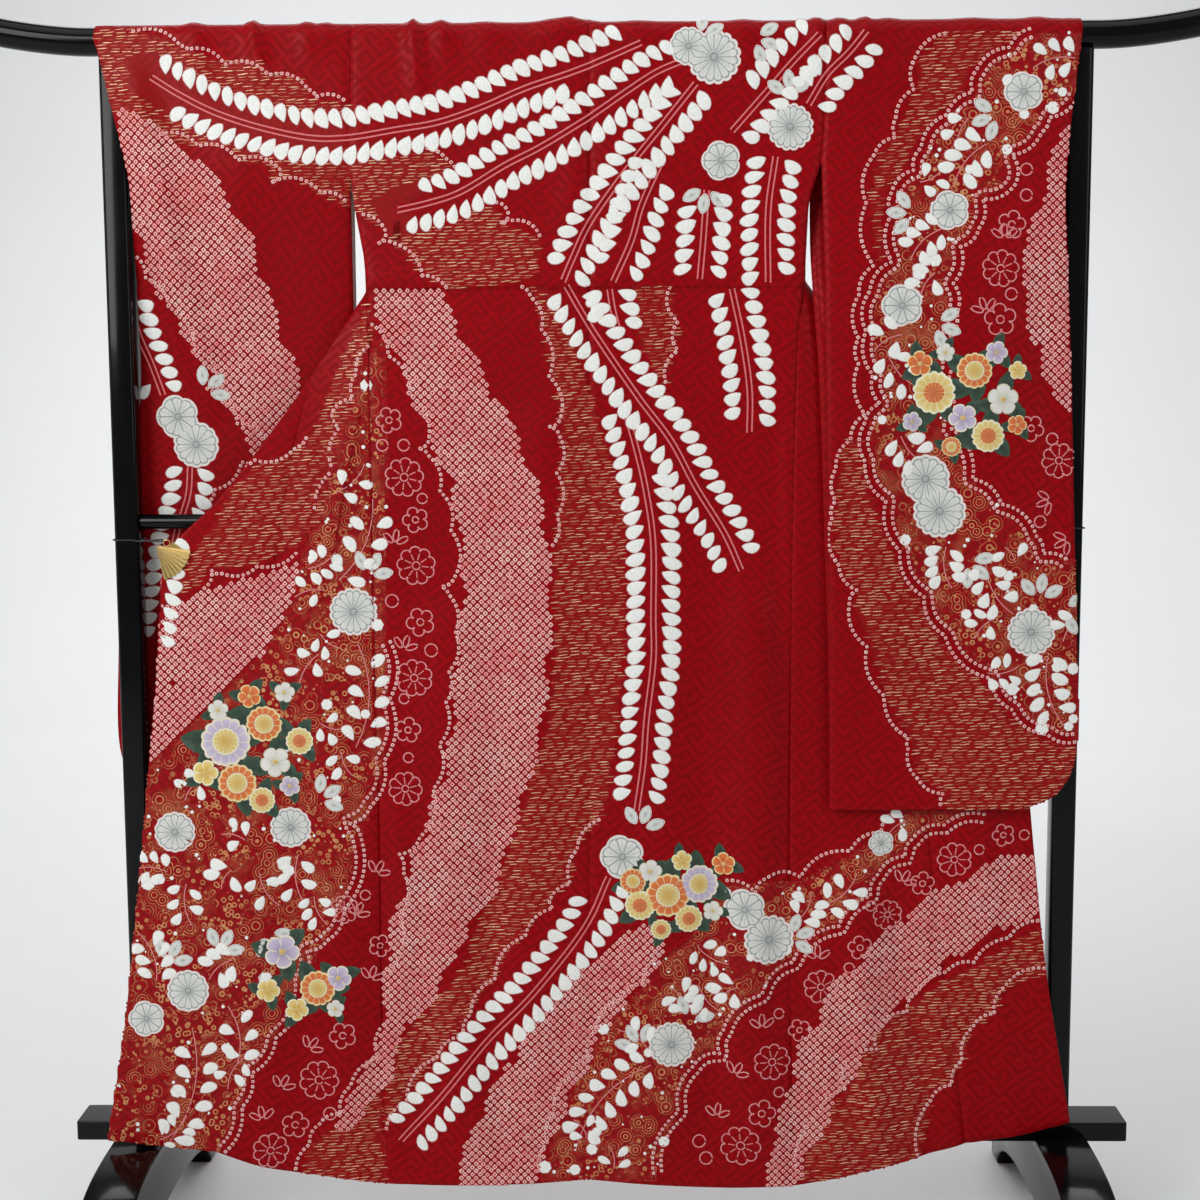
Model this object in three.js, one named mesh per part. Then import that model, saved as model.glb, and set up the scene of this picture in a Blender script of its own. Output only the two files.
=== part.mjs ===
// A furisode kimono spread over a lacquered kimono stand.
// Millimetres, +Z up, X along the rails, -Y towards the garment's outer back.
// Origin on the floor under the middle of the stand.
import * as THREE from 'three';

// ---- stand ----
const RAIL_D = 39.5; // top rail diameter
const RAIL_TOP = 1745; // height of the top rail's crest
const RAIL_HALF = 915; // half length of the top rail, tip to middle
const RAIL_STRAIGHT = 700; // the rail is straight this far from its middle
const RAIL_RISE = 34; // how far the tips sweep up
const POST_W = 35; // post, across X and across Y
const POST_ROUND = 6; // radius of the post's long edges
const POST_X = 670.5; // post centre line from the middle
const MID_D = 21.5; // middle rail diameter
const MID_TOP = 1066.5; // height of the middle rail's crest
const BAR_HALF = 769; // half length of the bottom bar
const BAR_DEEP = 68; // bottom bar, along Y
const BAR_HIGH = 28; // bottom bar, along Z
const BAR_TOP = 175; // height of the bar's upper face
const FOOT_W = 75; // foot board, along X
const FOOT_HALF = 285; // half length of a foot, along Y
const FOOT_TOP = 156; // crown height of a foot
const FOOT_POWER = 4.2; // superellipse power of the outer arch
const ARCH_HALF = 235; // half length of the hollow under a foot
const ARCH_TOP = 62; // height of that hollow
const ARCH_POWER = 2.1;
const SEAT = 0.3; // gap between touching pieces

// ---- garment ----
const CLOTH = 1.6; // wall of one panel with its lining
const COLLAR = 3.0; // wall of the doubled, padded collar
const LINING = 1.2; // wall of a lining panel
const COLLAR_W = 58; // width of the collar, folded in half
const RAIL_R = RAIL_D / 2;
const RAIL_Z = RAIL_TOP - RAIL_R;
const WRAP_GAP = 0.6; // room between the rail and the faceted cloth
const WRAP_R = RAIL_R + WRAP_GAP + CLOTH / 2; // mid-surface of a panel over the rail
const RIDGE = 1; // degrees from the crest to the panel's ridge edge
const WRAP_STEPS = 3; // sections on the quarter turn over the rail
const NEAR = -1;
const FAR = 1;

// ---- clip and cord ----
const FAN_R = 50; // fan radius
const FAN_SPREAD = 70; // degrees
const FAN_RIBS = 9;
const FAN_T = 2;
const JAW_W = 16; // clamp width along the cloth's edge
const JAW_REACH = 17; // how far the jaws reach over the cloth
const JAW_T = 1.2;
const JAW_SLOT = 7; // room between the jaws
const RING_R = 4.6;
const RING_T = 0.8;
const CORD_D = 2;

const LACQUER = { color: 0x0a0a0b, roughness: 0.12, metalness: 0 };
const CRIMSON = { color: 0xa8061c, roughness: 0.55, metalness: 0 };
const WHITE = { color: 0xe6e2dc, roughness: 0.6, metalness: 0 };
const BRASS = { color: 0xc9a24a, roughness: 0.3, metalness: 1 };
const BLACK = { color: 0x0b0b0b, roughness: 0.8, metalness: 0 };

const kimono = new THREE.Group();

function add(name, geometry, look) {
  const mesh = new THREE.Mesh(geometry, new THREE.MeshStandardMaterial(look));
  mesh.name = name;
  kimono.add(mesh);
  return mesh;
}

// ---- helpers for cloth ----

// Non-uniform cubic (Hermite) value at t between rows k and k + 1 of one column.
function cubic(rows, knots, k, t, column) {
  const value = (i) => rows[i][column];
  const slope = (i) => {
    if (i === 0 || i === rows.length - 1) {
      const j = i === 0 ? 0 : i - 1;
      return (value(j + 1) - value(j)) / (knots[j + 1] - knots[j]);
    }
    return (value(i + 1) - value(i - 1)) / (knots[i + 1] - knots[i - 1]);
  };
  const h = knots[k + 1] - knots[k];
  const [a, b, p, q] = [value(k), value(k + 1), slope(k) * h, slope(k + 1) * h];
  return a + t * (p + t * (3 * (b - a) - 2 * p - q + t * (2 * (a - b) + p + q)));
}

const STEPS = 2; // sections made from each pair of rows

// Rows [ax, ay, az, bx, by, bz, ...] become a list of smooth sections.
function smoothRows(rows, steps = STEPS) {
  const knots = [0];
  for (let k = 1; k < rows.length; k += 1) {
    const [p, q] = [rows[k - 1], rows[k]];
    const one = Math.hypot(q[0] - p[0], q[1] - p[1], q[2] - p[2]);
    const two = Math.hypot(q[3] - p[3], q[4] - p[4], q[5] - p[5]);
    knots.push(knots[k - 1] + (one + two) / 2);
  }
  const out = [];
  for (let k = 0; k < rows.length - 1; k += 1) {
    for (let i = 0; i < steps; i += 1) {
      out.push(rows[0].map((_, column) => cubic(rows, knots, k, i / steps, column)));
    }
  }
  out.push(rows[rows.length - 1].slice());
  return out;
}

// Sections of the quarter turn over the rail, on the near (-Y) or the far (+Y) side.
function overRail(ax, bx, side, radius = WRAP_R) {
  const out = [];
  for (let i = 0; i <= WRAP_STEPS; i += 1) {
    const angle = THREE.MathUtils.degToRad(RIDGE + ((90 - RIDGE) * i) / WRAP_STEPS);
    const y = side * radius * Math.sin(angle);
    const z = RAIL_Z + radius * Math.cos(angle);
    out.push([ax, y, z, bx, y, z]);
  }
  return out;
}

// Points of straight sections from A to B, with the columns at the given fractions.
function straight(sections, fractions) {
  return sections.map(([ax, ay, az, bx, by, bz]) =>
    fractions.map((u) => new THREE.Vector3(ax + (bx - ax) * u, ay + (by - ay) * u, az + (bz - az) * u)));
}

// A closed wall of the given thickness about a grid of mid-surface points.
function wall(grid, thickness) {
  const [n, m] = [grid.length, grid[0].length];
  const at = (i, j) => grid[Math.min(Math.max(i, 0), n - 1)][Math.min(Math.max(j, 0), m - 1)];
  const position = [];
  const sides = [[], []];
  for (let i = 0; i < n; i += 1) {
    for (let j = 0; j < m; j += 1) {
      const along = at(i + 1, j).clone().sub(at(i - 1, j));
      const across = at(i, j + 1).clone().sub(at(i, j - 1));
      const normal = along.cross(across).normalize().multiplyScalar(thickness / 2);
      sides[0].push(at(i, j).clone().add(normal));
      sides[1].push(at(i, j).clone().sub(normal));
    }
  }
  sides.flat().forEach((p) => position.push(p.x, p.y, p.z));
  const front = (i, j) => i * m + j;
  const back = (i, j) => n * m + i * m + j;
  const faces = [];
  const quad = (a, b, c, d) => faces.push(a, b, c, a, c, d);
  for (let i = 0; i < n - 1; i += 1) {
    for (let j = 0; j < m - 1; j += 1) {
      quad(front(i, j), front(i + 1, j), front(i + 1, j + 1), front(i, j + 1));
      quad(back(i, j), back(i, j + 1), back(i + 1, j + 1), back(i + 1, j));
    }
    quad(front(i, 0), back(i, 0), back(i + 1, 0), front(i + 1, 0));
    quad(front(i + 1, m - 1), back(i + 1, m - 1), back(i, m - 1), front(i, m - 1));
  }
  for (let j = 0; j < m - 1; j += 1) {
    quad(front(0, j + 1), back(0, j + 1), back(0, j), front(0, j));
    quad(front(n - 1, j), back(n - 1, j), back(n - 1, j + 1), front(n - 1, j + 1));
  }
  return outward(position, faces);
}

// Turns the faces round if the body's signed volume is negative.
function outward(position, faces) {
  const p = (i) => new THREE.Vector3(position[3 * i], position[3 * i + 1], position[3 * i + 2]);
  let volume = 0;
  for (let k = 0; k < faces.length; k += 3) {
    volume += p(faces[k]).dot(p(faces[k + 1]).cross(p(faces[k + 2])));
  }
  const geometry = new THREE.BufferGeometry();
  geometry.setAttribute('position', new THREE.Float32BufferAttribute(position, 3));
  geometry.setIndex(volume > 0 ? faces : faces.slice().reverse());
  geometry.computeVertexNormals();
  return geometry;
}

const EVEN = [0, 0.2, 0.4, 0.6, 0.8, 1];
const FINE = [...Array(9).keys()].map((k) => k / 8);
const SEAM_GAP = 0.5; // room between two panels at a seam
const A_END = 0; // first column of a row's A point
const B_END = 3; // first column of a row's B point

// Where the edge at that end of a panel's sections lies at height z: [x, y].
function edgeAt(sections, end, z) {
  const below = sections.findIndex((row) => row[end + 2] <= z);
  if (below === 0) return sections[0].slice(end, end + 2);
  if (below < 0) return sections[sections.length - 1].slice(end, end + 2);
  const [p, q] = [sections[below - 1], sections[below]];
  const t = (p[end + 2] - z) / (p[end + 2] - q[end + 2]);
  return [p[end] + t * (q[end] - p[end]), p[end + 1] + t * (q[end + 1] - p[end + 1])];
}

// Between two heights the A edge is sewn to a neighbour's edge: it gets that edge's x, moved by gap,
// and its y.
function sewnTo(sections, neighbour, end, gap, top, bottom) {
  return sections.map((row) => {
    if (row[2] > top || row[2] < bottom) return row;
    const [x, y] = edgeAt(neighbour, end, row[2]);
    return [x + gap, y, ...row.slice(2)];
  });
}

const FOLD_END = 90; // length over which a soft fold dies away at each end
const smoothStep = (t) => {
  const s = Math.min(Math.max(t, 0), 1);
  return s * s * (3 - 2 * s);
};

// Soft ridges towards -Y. Each row: [share across at the top, share at the bottom, top z, bottom z,
// height of the ridge, its half width].
function folded(grid, folds) {
  grid.forEach((row) => {
    const width = row[0].distanceTo(row[row.length - 1]);
    row.forEach((p) => {
      const u = p.distanceTo(row[0]) / width;
      folds.forEach(([uTop, uBottom, zTop, zBottom, high, half]) => {
        const run = (zTop - p.z) / (zTop - zBottom);
        const across = ((u - uTop - (uBottom - uTop) * run) * width) / half;
        const ends = smoothStep((zTop - p.z) / FOLD_END) * smoothStep((p.z - zBottom) / FOLD_END);
        p.lift = (p.lift ?? 0) + high * ends * Math.exp(-across * across);
      });
    });
  });
  grid.flat().forEach((p) => {
    p.y -= p.lift ?? 0;
  });
  return grid;
}

function panel(name, sections, options = {}) {
  const { fractions = EVEN, thickness = CLOTH, look = CRIMSON, folds = [] } = options;
  add(name, wall(folded(straight(sections, fractions), folds), thickness), look);
}

// ---- back panels: centre seam to sleeve seam, armhole, then side seam ----
// columns: ax, ay, az (centre seam), bx, by, bz (outer edge)
const BACK_LEFT = [
  [-7.3, -22, 1700, -336, -22, 1700],
  [-8.3, -26, 1560, -338.6, -26, 1560],
  [-8.3, -28, 1500, -334, -28.5, 1500],
  [-8.3, -31, 1417, -320, -32, 1417],
  [-8.4, -33, 1389, -318, -33.6, 1389],
  [-8.4, -31.4, 1385, -318, -32, 1385],
  [-9.3, -33, 1300, -317.6, -33.4, 1300],
  [-10.3, -36, 1000, -316.6, -37, 1000],
  [-12.3, -40, 600, -315.6, -42, 600],
  [-15.3, -47, 300, -315.2, -50, 300],
  [-18.3, -56, 98, -315, -57, 92],
];
const BACK_RIGHT = [
  [-6.9, -22, 1700, 318.7, -22, 1700],
  [-7.9, -26, 1560, 313.6, -26, 1560],
  [-7.9, -28, 1500, 297, -28.5, 1500],
  [-7.9, -31, 1417, 291, -32, 1417],
  [-8, -33, 1391, 289.5, -33.6, 1391],
  [-8, -31.4, 1387, 289.2, -32, 1387],
  [-8.9, -33, 1300, 282, -33.4, 1300],
  [-9.9, -36, 1000, 276, -37, 1000],
  [-11.9, -40, 600, 274.6, -42, 600],
  [-14.9, -47, 300, 277, -49, 300],
  [-17.9, -56, 98, 278.4, -56, 88],
];
// columns of every FOLDS table: share across at the top and at the bottom, top z, bottom z, height, half width
const BACK_LEFT_FOLDS = [
  [0.22, 0.3, 1250, 120, 3, 40],
  [0.68, 0.62, 980, 110, 4, 44],
];
const BACK_RIGHT_FOLDS = [
  [0.34, 0.28, 1180, 120, 3, 46],
  [0.78, 0.86, 1000, 100, 6, 36],
];
const backLeft = smoothRows([...overRail(-7.3, -336, NEAR), ...BACK_LEFT]);
const backRight = smoothRows([...overRail(-6.9, 318.7, NEAR), ...BACK_RIGHT]);
panel('back_left', backLeft, { fractions: FINE, folds: BACK_LEFT_FOLDS });
panel('back_right', backRight, { fractions: FINE, folds: BACK_RIGHT_FOLDS });

// ---- front panels: they hang behind the rail and swing out round the side seam ----
// columns: ax, ay, az (armhole, then side seam), bx, by, bz (collar line, then front-panel seam),
// pleat (where the deep pleat's edge lies, as a share of the width), lap (its overlap)
const SIDE_SEAM_TOP = 1340; // below this height the fronts are sewn to the back's side edges
const FRONT_LEFT = [
  [-336.4, 21.2, 1700, -73, 21.2, 1700, 0.5, 0],
  [-337.6, 19, 1640, -120, 15.5, 1641, 0.5, 0],
  [-338.4, 10, 1536, -202, 6.3, 1535, 0.5, 0],
  [-324, -14, 1430, -284, -2.6, 1430, 0.5, 0],
  [-319.6, -27, 1381, -322, -8, 1378, 0.5, 0],
  [-319.2, -31, 1330, -357, -22, 1324, 0.6, 8],
  [-318.6, -33.8, 1237, -416, -31, 1237, 0.5, 26],
  [-318, -35.8, 1092, -530, -38, 1092, 0.4, 30],
  [-317.6, -36.8, 1022, -600, -40, 1022, 0.34, 28],
  [-317.2, -37.8, 940, -618, -41, 948, 0.39, 20],
  [-316.8, -39.6, 795, -601, -45, 805, 0.58, 0],
  [-316.6, -40.5, 700, -597, -49, 722, 0.6, 0],
  [-316.2, -43, 560, -585, -55, 593, 0.6, 0],
  [-316, -46, 440, -564, -61, 476, 0.6, 0],
  [-315.8, -50.4, 290, -536, -70, 328, 0.6, 0],
  [-315.6, -57, 92, -554, -82, 150, 0.6, 0],
];
const PLEAT_SIZE = 14; // the pleat's half width in the cloth
const PLEAT_DEEP = 7; // depth between its layers
const PLEAT_STATIONS = [-3, -1.2, -0.5, 0, 0.5, 1.2, 3];

// Points of sections with an S-shaped pleat: the side nearer the seam lies over the other.
function pleated(sections) {
  return sections.map(([ax, ay, az, bx, by, bz, share, lap]) => {
    const width = Math.hypot(bx - ax, by - ay, bz - az);
    const centre = share * width;
    const size = Math.min(PLEAT_SIZE, centre / 3.3, (width - centre) / 3.3);
    const fold = Math.max(0, lap) / 30;
    const point = (distance) => {
      const u = distance / width;
      const t = (distance - centre) / size;
      const slide = -1.65 * lap * t * Math.exp((-t * t) / 2);
      const depth = fold * (PLEAT_DEEP / 2) * Math.tanh(1.6 * t) * Math.exp(-((t / 3.2) ** 2));
      return new THREE.Vector3(
        ax + (bx - ax) * u - slide * Math.sign(bx - ax), ay + (by - ay) * u + depth, az + (bz - az) * u);
    };
    return [0, ...PLEAT_STATIONS.map((t) => centre + size * t), width].map(point);
  });
}
const frontLeft = sewnTo(
  smoothRows([...overRail(-336.4, -68, FAR).map((row) => [...row, 0.5, 0]), ...FRONT_LEFT]),
  backLeft, B_END, -SEAM_GAP, SIDE_SEAM_TOP, 0);
add('front_left', wall(pleated(frontLeft), CLOTH), CRIMSON);

const FRONT_RIGHT = [
  [319.1, 21.2, 1700, 58, 21.2, 1700],
  [317, 19, 1640, 101, 15.5, 1641],
  [302, 8, 1536, 182, 6.3, 1535],
  [294, -12, 1430, 264, -2.6, 1430],
  [291, -27, 1381, 303, -6, 1378],
  [284.6, -32.2, 1330, 342, -14, 1324],
  [280.4, -33.8, 1237, 400, -18, 1237],
  [277.6, -35.8, 1092, 418, -23.4, 1092],
  [276.4, -37, 1000, 438, -27.6, 1000],
  [275.2, -39.6, 795, 455, -33.6, 795],
  [275, -42, 600, 474, -39, 600],
  [276, -45.4, 440, 494, -43.4, 430],
  [277.6, -49.4, 290, 513, -48.6, 290],
  [279, -56.4, 88, 530.4, -57, 154],
];
const frontRight = sewnTo(
  smoothRows([...overRail(319.1, 52, FAR), ...FRONT_RIGHT]),
  backRight, B_END, SEAM_GAP, SIDE_SEAM_TOP, 0);
const FRONT_RIGHT_FOLDS = [[0.42, 0.5, 640, 100, 7, 32]];
panel('front_right', frontRight, { fractions: FINE, folds: FRONT_RIGHT_FOLDS });

// ---- overlap panels ----
// left one, columns: seam x, y, z, free edge x, y, z, width turned under behind that edge
const OVERLAP_LEFT = [
  [-611, -40.6, 930, -620.5, -41, 930, 92],
  [-601.8, -45, 800, -630, -45.5, 800, 90],
  [-597.4, -49, 722, -639, -50, 722, 84],
  [-585.4, -55, 593, -652, -56.5, 593, 62],
  [-564.4, -61, 476, -665, -63.5, 476, 34],
  [-536.4, -70, 328, -683, -73, 328, 10],
  [-554.4, -82, 150, -709, -85, 168, 6],
];
const TURN_R = 2.4; // radius of the turned edge
function turnedUnder(sections) {
  return sections.map(([ax, ay, az, bx, by, bz, under]) => {
    const flat = (u) => new THREE.Vector3(
      ax + (bx + TURN_R - ax) * u, ay + (by - ay) * u, az + (bz - az) * u);
    const turn = (degrees) => {
      const angle = THREE.MathUtils.degToRad(degrees);
      return new THREE.Vector3(
        bx + TURN_R - TURN_R * Math.sin(angle), by + TURN_R * (1 - Math.cos(angle)), bz);
    };
    const back = (share) => {
      const x = bx + TURN_R + under * share;
      const inward = Math.max(0, x - ax);
      const [seamX, seamY] = edgeAt(frontLeft, A_END, bz);
      const slope = (seamY - ay) / (seamX - ax);
      return new THREE.Vector3(x, by + 2 * TURN_R + slope * inward, bz);
    };
    return [flat(0), flat(0.33), flat(0.67), flat(1), turn(45), turn(90), turn(135), turn(180),
      back(0.5), back(1)];
  });
}
const overlapLeft = sewnTo(smoothRows(OVERLAP_LEFT), frontLeft, B_END, -SEAM_GAP - 0.3, Infinity, 0);
add('overlap_left', wall(turnedUnder(overlapLeft), CLOTH), CRIMSON);

// right one, columns: seam, then collar line and free edge
const OVERLAP_RIGHT = [
  [400.5, -18.2, 1232, 408, -18.6, 1228],
  [418.4, -23.4, 1092, 528, -23, 1100],
  [438.4, -27.6, 1000, 584, -27, 1000],
  [455.4, -33.6, 795, 603, -31, 795],
  [474.4, -39, 600, 622, -36, 600],
  [494.4, -43.4, 430, 642, -41, 420],
  [513.4, -48.6, 290, 663, -47, 290],
  [530.8, -57, 154, 681, -54, 184],
];
const overlapRight = sewnTo(smoothRows(OVERLAP_RIGHT), frontRight, B_END, SEAM_GAP, Infinity, 0);
panel('overlap_right', overlapRight, { fractions: [0, 0.33, 0.67, 1] });

// ---- collar: from the back of the neck along the front edge to its end at the clip ----
// columns: x, y, z of the cloth edge that it follows
const COLLAR_LEFT = [
  [-7.3, 23.6, 1722],
  [-40, 23.8, 1712],
  [-73, 24, 1700],
  [-120, 18.3, 1641],
  [-202, 9.2, 1535],
  [-284, 0.4, 1430],
  [-322, -4.8, 1378],
  [-357, -15, 1324],
  [-416, -23.4, 1237],
  [-530, -30.4, 1092],
  [-566, -34.4, 1057],
  [-598, -36.8, 1019],
];
const COLLAR_RIGHT = [
  [-6.9, 23.6, 1722],
  [25, 23.8, 1712],
  [58, 24, 1700],
  [101, 18.3, 1641],
  [182, 9.2, 1535],
  [264, 0.4, 1430],
  [303, -2.8, 1378],
  [342, -10.8, 1324],
  [402, -14.8, 1237],
  [524, -19.4, 1100],
  [578, -23.2, 1030],
];
const SLOPE = { x: 0.79, z: -0.613 }; // unit direction across the left collar, inwards
function collar(name, edge, side) {
  const rows = edge.map(([x, y, z], k) => {
    const turn = Math.min(1, k / 3); // level round the neck, then square to the front edge
    const dx = COLLAR_W * SLOPE.x * turn * -side;
    const dz = -COLLAR_W * Math.hypot(SLOPE.z, (1 - turn) * SLOPE.x);
    return [x, y, z, x + dx, y, z + dz];
  });
  panel(name, smoothRows(rows), { fractions: [0, 0.5, 1], thickness: COLLAR });
}
collar('collar_left', COLLAR_LEFT, -1);
collar('collar_right', COLLAR_RIGHT, 1);

// ---- sleeves: a back and a front half each, joined at the ridge over the rail ----
// The body edge that a sleeve half is sewn to: the B end of a back panel, the A end of a front panel.
const B_OF_BODY = { [NEAR]: B_END, [FAR]: A_END };
// columns: ax, ay, az (inner edge), bx, by, bz (outer edge with the cuff)
const SLEEVE_LEFT_BACK = [
  [-336.7, -22, 1700, -684, -21.4, 1700],
  [-337.6, -24, 1630, -668, -20.6, 1623],
  [-339.2, -26, 1560, -650.4, -20, 1540],
  [-341, -12, 1440, -649, -5, 1440],
  [-342, 0, 1340, -649, 12, 1340],
  [-342, 10, 1240, -652, 22.5, 1240],
  [-343, 17, 1120, -672, 24, 1120],
  [-344, 22, 1000, -688, 25, 1000],
  [-345, 24, 840, -699, 26, 840],
  [-346, 25, 738, -702, 26, 738],
  [-346, 25, 690, -692, 26, 690],
  [-346, 25, 662, -668, 26, 662],
  [-346, 25, 646, -626, 26, 646],
];
const SLEEVE_LEFT_FRONT = [
  [-336.7, 21.2, 1700, -690, 21.6, 1700],
  [-337.9, 19, 1640, -688, 23, 1640],
  [-338.8, 10, 1536, -688, 25, 1536],
  [-340, 16, 1430, -688, 27, 1430],
  [-341, 22, 1300, -688, 28, 1300],
  [-342, 25, 1150, -690, 28.6, 1150],
  [-344, 27, 1000, -694, 29, 1000],
  [-345, 28, 840, -699, 30, 840],
  [-346, 29, 738, -702, 30, 738],
  [-346, 29, 690, -692, 30, 690],
  [-346, 29, 662, -668, 30, 662],
  [-346, 29, 646, -626, 30, 646],
];
const SLEEVE_RIGHT_BACK = [
  [319.2, -22, 1700, 666, -22, 1700],
  [314.2, -26, 1560, 650, -30, 1530],
  [318, -38, 1420, 652, -40, 1420],
  [321, -44, 1250, 660, -46, 1250],
  [325, -48, 1000, 670, -50, 1000],
  [328, -52, 850, 676, -53, 850],
  [329, -53.5, 748, 678, -55, 748],
  [329.6, -54, 695, 668, -56, 695],
  [330, -54.4, 664, 644, -56, 664],
  [330, -54.8, 646, 600, -56, 646],
];
const SLEEVE_RIGHT_FRONT = [
  [319.6, 21.2, 1700, 664, 21.2, 1700],
  [317.5, 19, 1640, 652, 20.4, 1640],
  [302.6, 8, 1536, 648, 4, 1545],
  [300, -16, 1440, 647, -18, 1470],
  [303, -34.6, 1370, 649, -34, 1400],
  [312, -40, 1250, 658, -42, 1250],
  [322, -44, 1000, 668, -46, 1000],
  [327, -48, 850, 675, -49, 850],
  [329, -49.5, 748, 677, -51, 748],
  [329.6, -50, 695, 667, -52, 695],
  [330, -50.4, 664, 643, -52, 664],
  [330, -50.8, 646, 599, -52, 646],
];
const SLEEVE_LEFT_FOLDS = [[0.9, 0.42, 1680, 1200, 6, 34]];
const SLEEVE_RIGHT_FOLDS = [
  [0.62, 0.7, 1420, 720, 4, 44],
  [0.22, 0.16, 1500, 800, 3, 40],
];
// The inner edge is sewn to the body panel over the rail and down to SLEEVE_SEAM_END.
const SLEEVE_SEAM_END = 1552;
const SLEEVE_SEAM_TOP = RAIL_Z - 1;
function sleeveHalf(rows, ax, bx, side, body, gap) {
  const sections = smoothRows([...overRail(ax, bx, side), ...rows]);
  return sewnTo(sections, body, B_OF_BODY[side], gap, SLEEVE_SEAM_TOP, SLEEVE_SEAM_END);
}
const sleeveRightFront = sleeveHalf(SLEEVE_RIGHT_FRONT, 319.6, 670, FAR, frontRight, SEAM_GAP);
panel('sleeve_left_back', sleeveHalf(SLEEVE_LEFT_BACK, -336.7, -692, NEAR, backLeft, -SEAM_GAP),
  { fractions: FINE, folds: SLEEVE_LEFT_FOLDS });
panel('sleeve_left_front', sleeveHalf(SLEEVE_LEFT_FRONT, -336.9, -692, FAR, frontLeft, -SEAM_GAP));
panel('sleeve_right_back', sleeveHalf(SLEEVE_RIGHT_BACK, 319.2, 670, NEAR, backRight, SEAM_GAP),
  { fractions: FINE, folds: SLEEVE_RIGHT_FOLDS });
panel('sleeve_right_front', sleeveRightFront);

// The right sleeve's lining shows in the open armhole: it lies on the inner face of the front half.
const LINING_TOP = 1545; // heights between which the lining covers the front half
const LINING_BOTTOM = 690;
const LINING_OUT = (CLOTH + LINING) / 2 + SEAT;
const HEM_MARGIN = 4; // how far the lining stays inside the sleeve's edges
const lining = sleeveRightFront
  .filter((row) => row[2] < LINING_TOP && row[2] > LINING_BOTTOM)
  .map(([ax, ay, az, bx, by, bz]) => [ax + HEM_MARGIN, ay, az, bx - HEM_MARGIN, by, bz]);
function movedOut(grid, distance) {
  return grid.map((row, i) => row.map((p, j) => {
    const [n, m] = [grid.length - 1, row.length - 1];
    const along = grid[Math.min(i + 1, n)][j].clone().sub(grid[Math.max(i - 1, 0)][j]);
    const across = row[Math.min(j + 1, m)].clone().sub(row[Math.max(j - 1, 0)]);
    const normal = along.cross(across).normalize();
    return p.clone().add(normal.multiplyScalar(distance * Math.sign(-normal.y)));
  }));
}
add('sleeve_right_lining', wall(movedOut(straight(lining, EVEN), LINING_OUT), LINING), WHITE);

// ---- stand ----

// Height of the top rail's centre line: straight, then sweeping up towards each tip.
function railHeight(x) {
  const past = Math.max(0, Math.abs(x) - RAIL_STRAIGHT) / (RAIL_HALF - RAIL_STRAIGHT);
  return RAIL_Z + RAIL_RISE * past ** 1.7;
}
class RailLine extends THREE.Curve {
  getPoint(t) {
    const x = (2 * t - 1) * RAIL_HALF;
    return new THREE.Vector3(x, 0, railHeight(x));
  }
}
const RAIL_SIDES = 24;
function roundSection(radius, sides) {
  const points = [...Array(sides).keys()].map((k) => {
    const angle = (2 * Math.PI * k) / sides;
    return new THREE.Vector2(radius * Math.cos(angle), radius * Math.sin(angle));
  });
  return new THREE.Shape(points);
}
function tube(curve, diameter, sides, steps) {
  return new THREE.ExtrudeGeometry(roundSection(diameter / 2, sides), {
    steps,
    extrudePath: curve,
    bevelEnabled: false,
  });
}
add('top_rail', tube(new RailLine(), RAIL_D, RAIL_SIDES, 40), LACQUER);

function roundedBox(width, depth, radius, height) {
  const [w, d] = [width / 2, depth / 2];
  const shape = new THREE.Shape();
  shape.moveTo(-w + radius, -d);
  shape.lineTo(w - radius, -d);
  shape.absarc(w - radius, -d + radius, radius, -Math.PI / 2, 0);
  shape.lineTo(w, d - radius);
  shape.absarc(w - radius, d - radius, radius, 0, Math.PI / 2);
  shape.lineTo(-w + radius, d);
  shape.absarc(-w + radius, d - radius, radius, Math.PI / 2, Math.PI);
  shape.lineTo(-w, -d + radius);
  shape.absarc(-w + radius, -d + radius, radius, Math.PI, 1.5 * Math.PI);
  return new THREE.ExtrudeGeometry(shape, { depth: height, bevelEnabled: false, curveSegments: 4 });
}
const postFoot = BAR_TOP + SEAT;
const postTop = RAIL_TOP - RAIL_D - SEAT;
const sideName = (side) => (side < 0 ? 'left' : 'right');
[-1, 1].forEach((side) => {
  const post = add(`post_${sideName(side)}`,
    roundedBox(POST_W, POST_W, POST_ROUND, postTop - postFoot), LACQUER);
  post.position.set(side * POST_X, 0, postFoot);
});

const midHalf = POST_X - POST_W / 2 - SEAT;
const midZ = MID_TOP - MID_D / 2;
const midLine = new THREE.LineCurve3(
  new THREE.Vector3(-midHalf, 0, midZ), new THREE.Vector3(midHalf, 0, midZ));
add('middle_rail', tube(midLine, MID_D, 20, 1), LACQUER);

const BAR_ROUND = 4;
const bar = add('bottom_bar', roundedBox(2 * BAR_HALF, BAR_DEEP, BAR_ROUND, BAR_HIGH), LACQUER);
bar.position.set(0, 0, BAR_TOP - BAR_HIGH);

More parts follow.
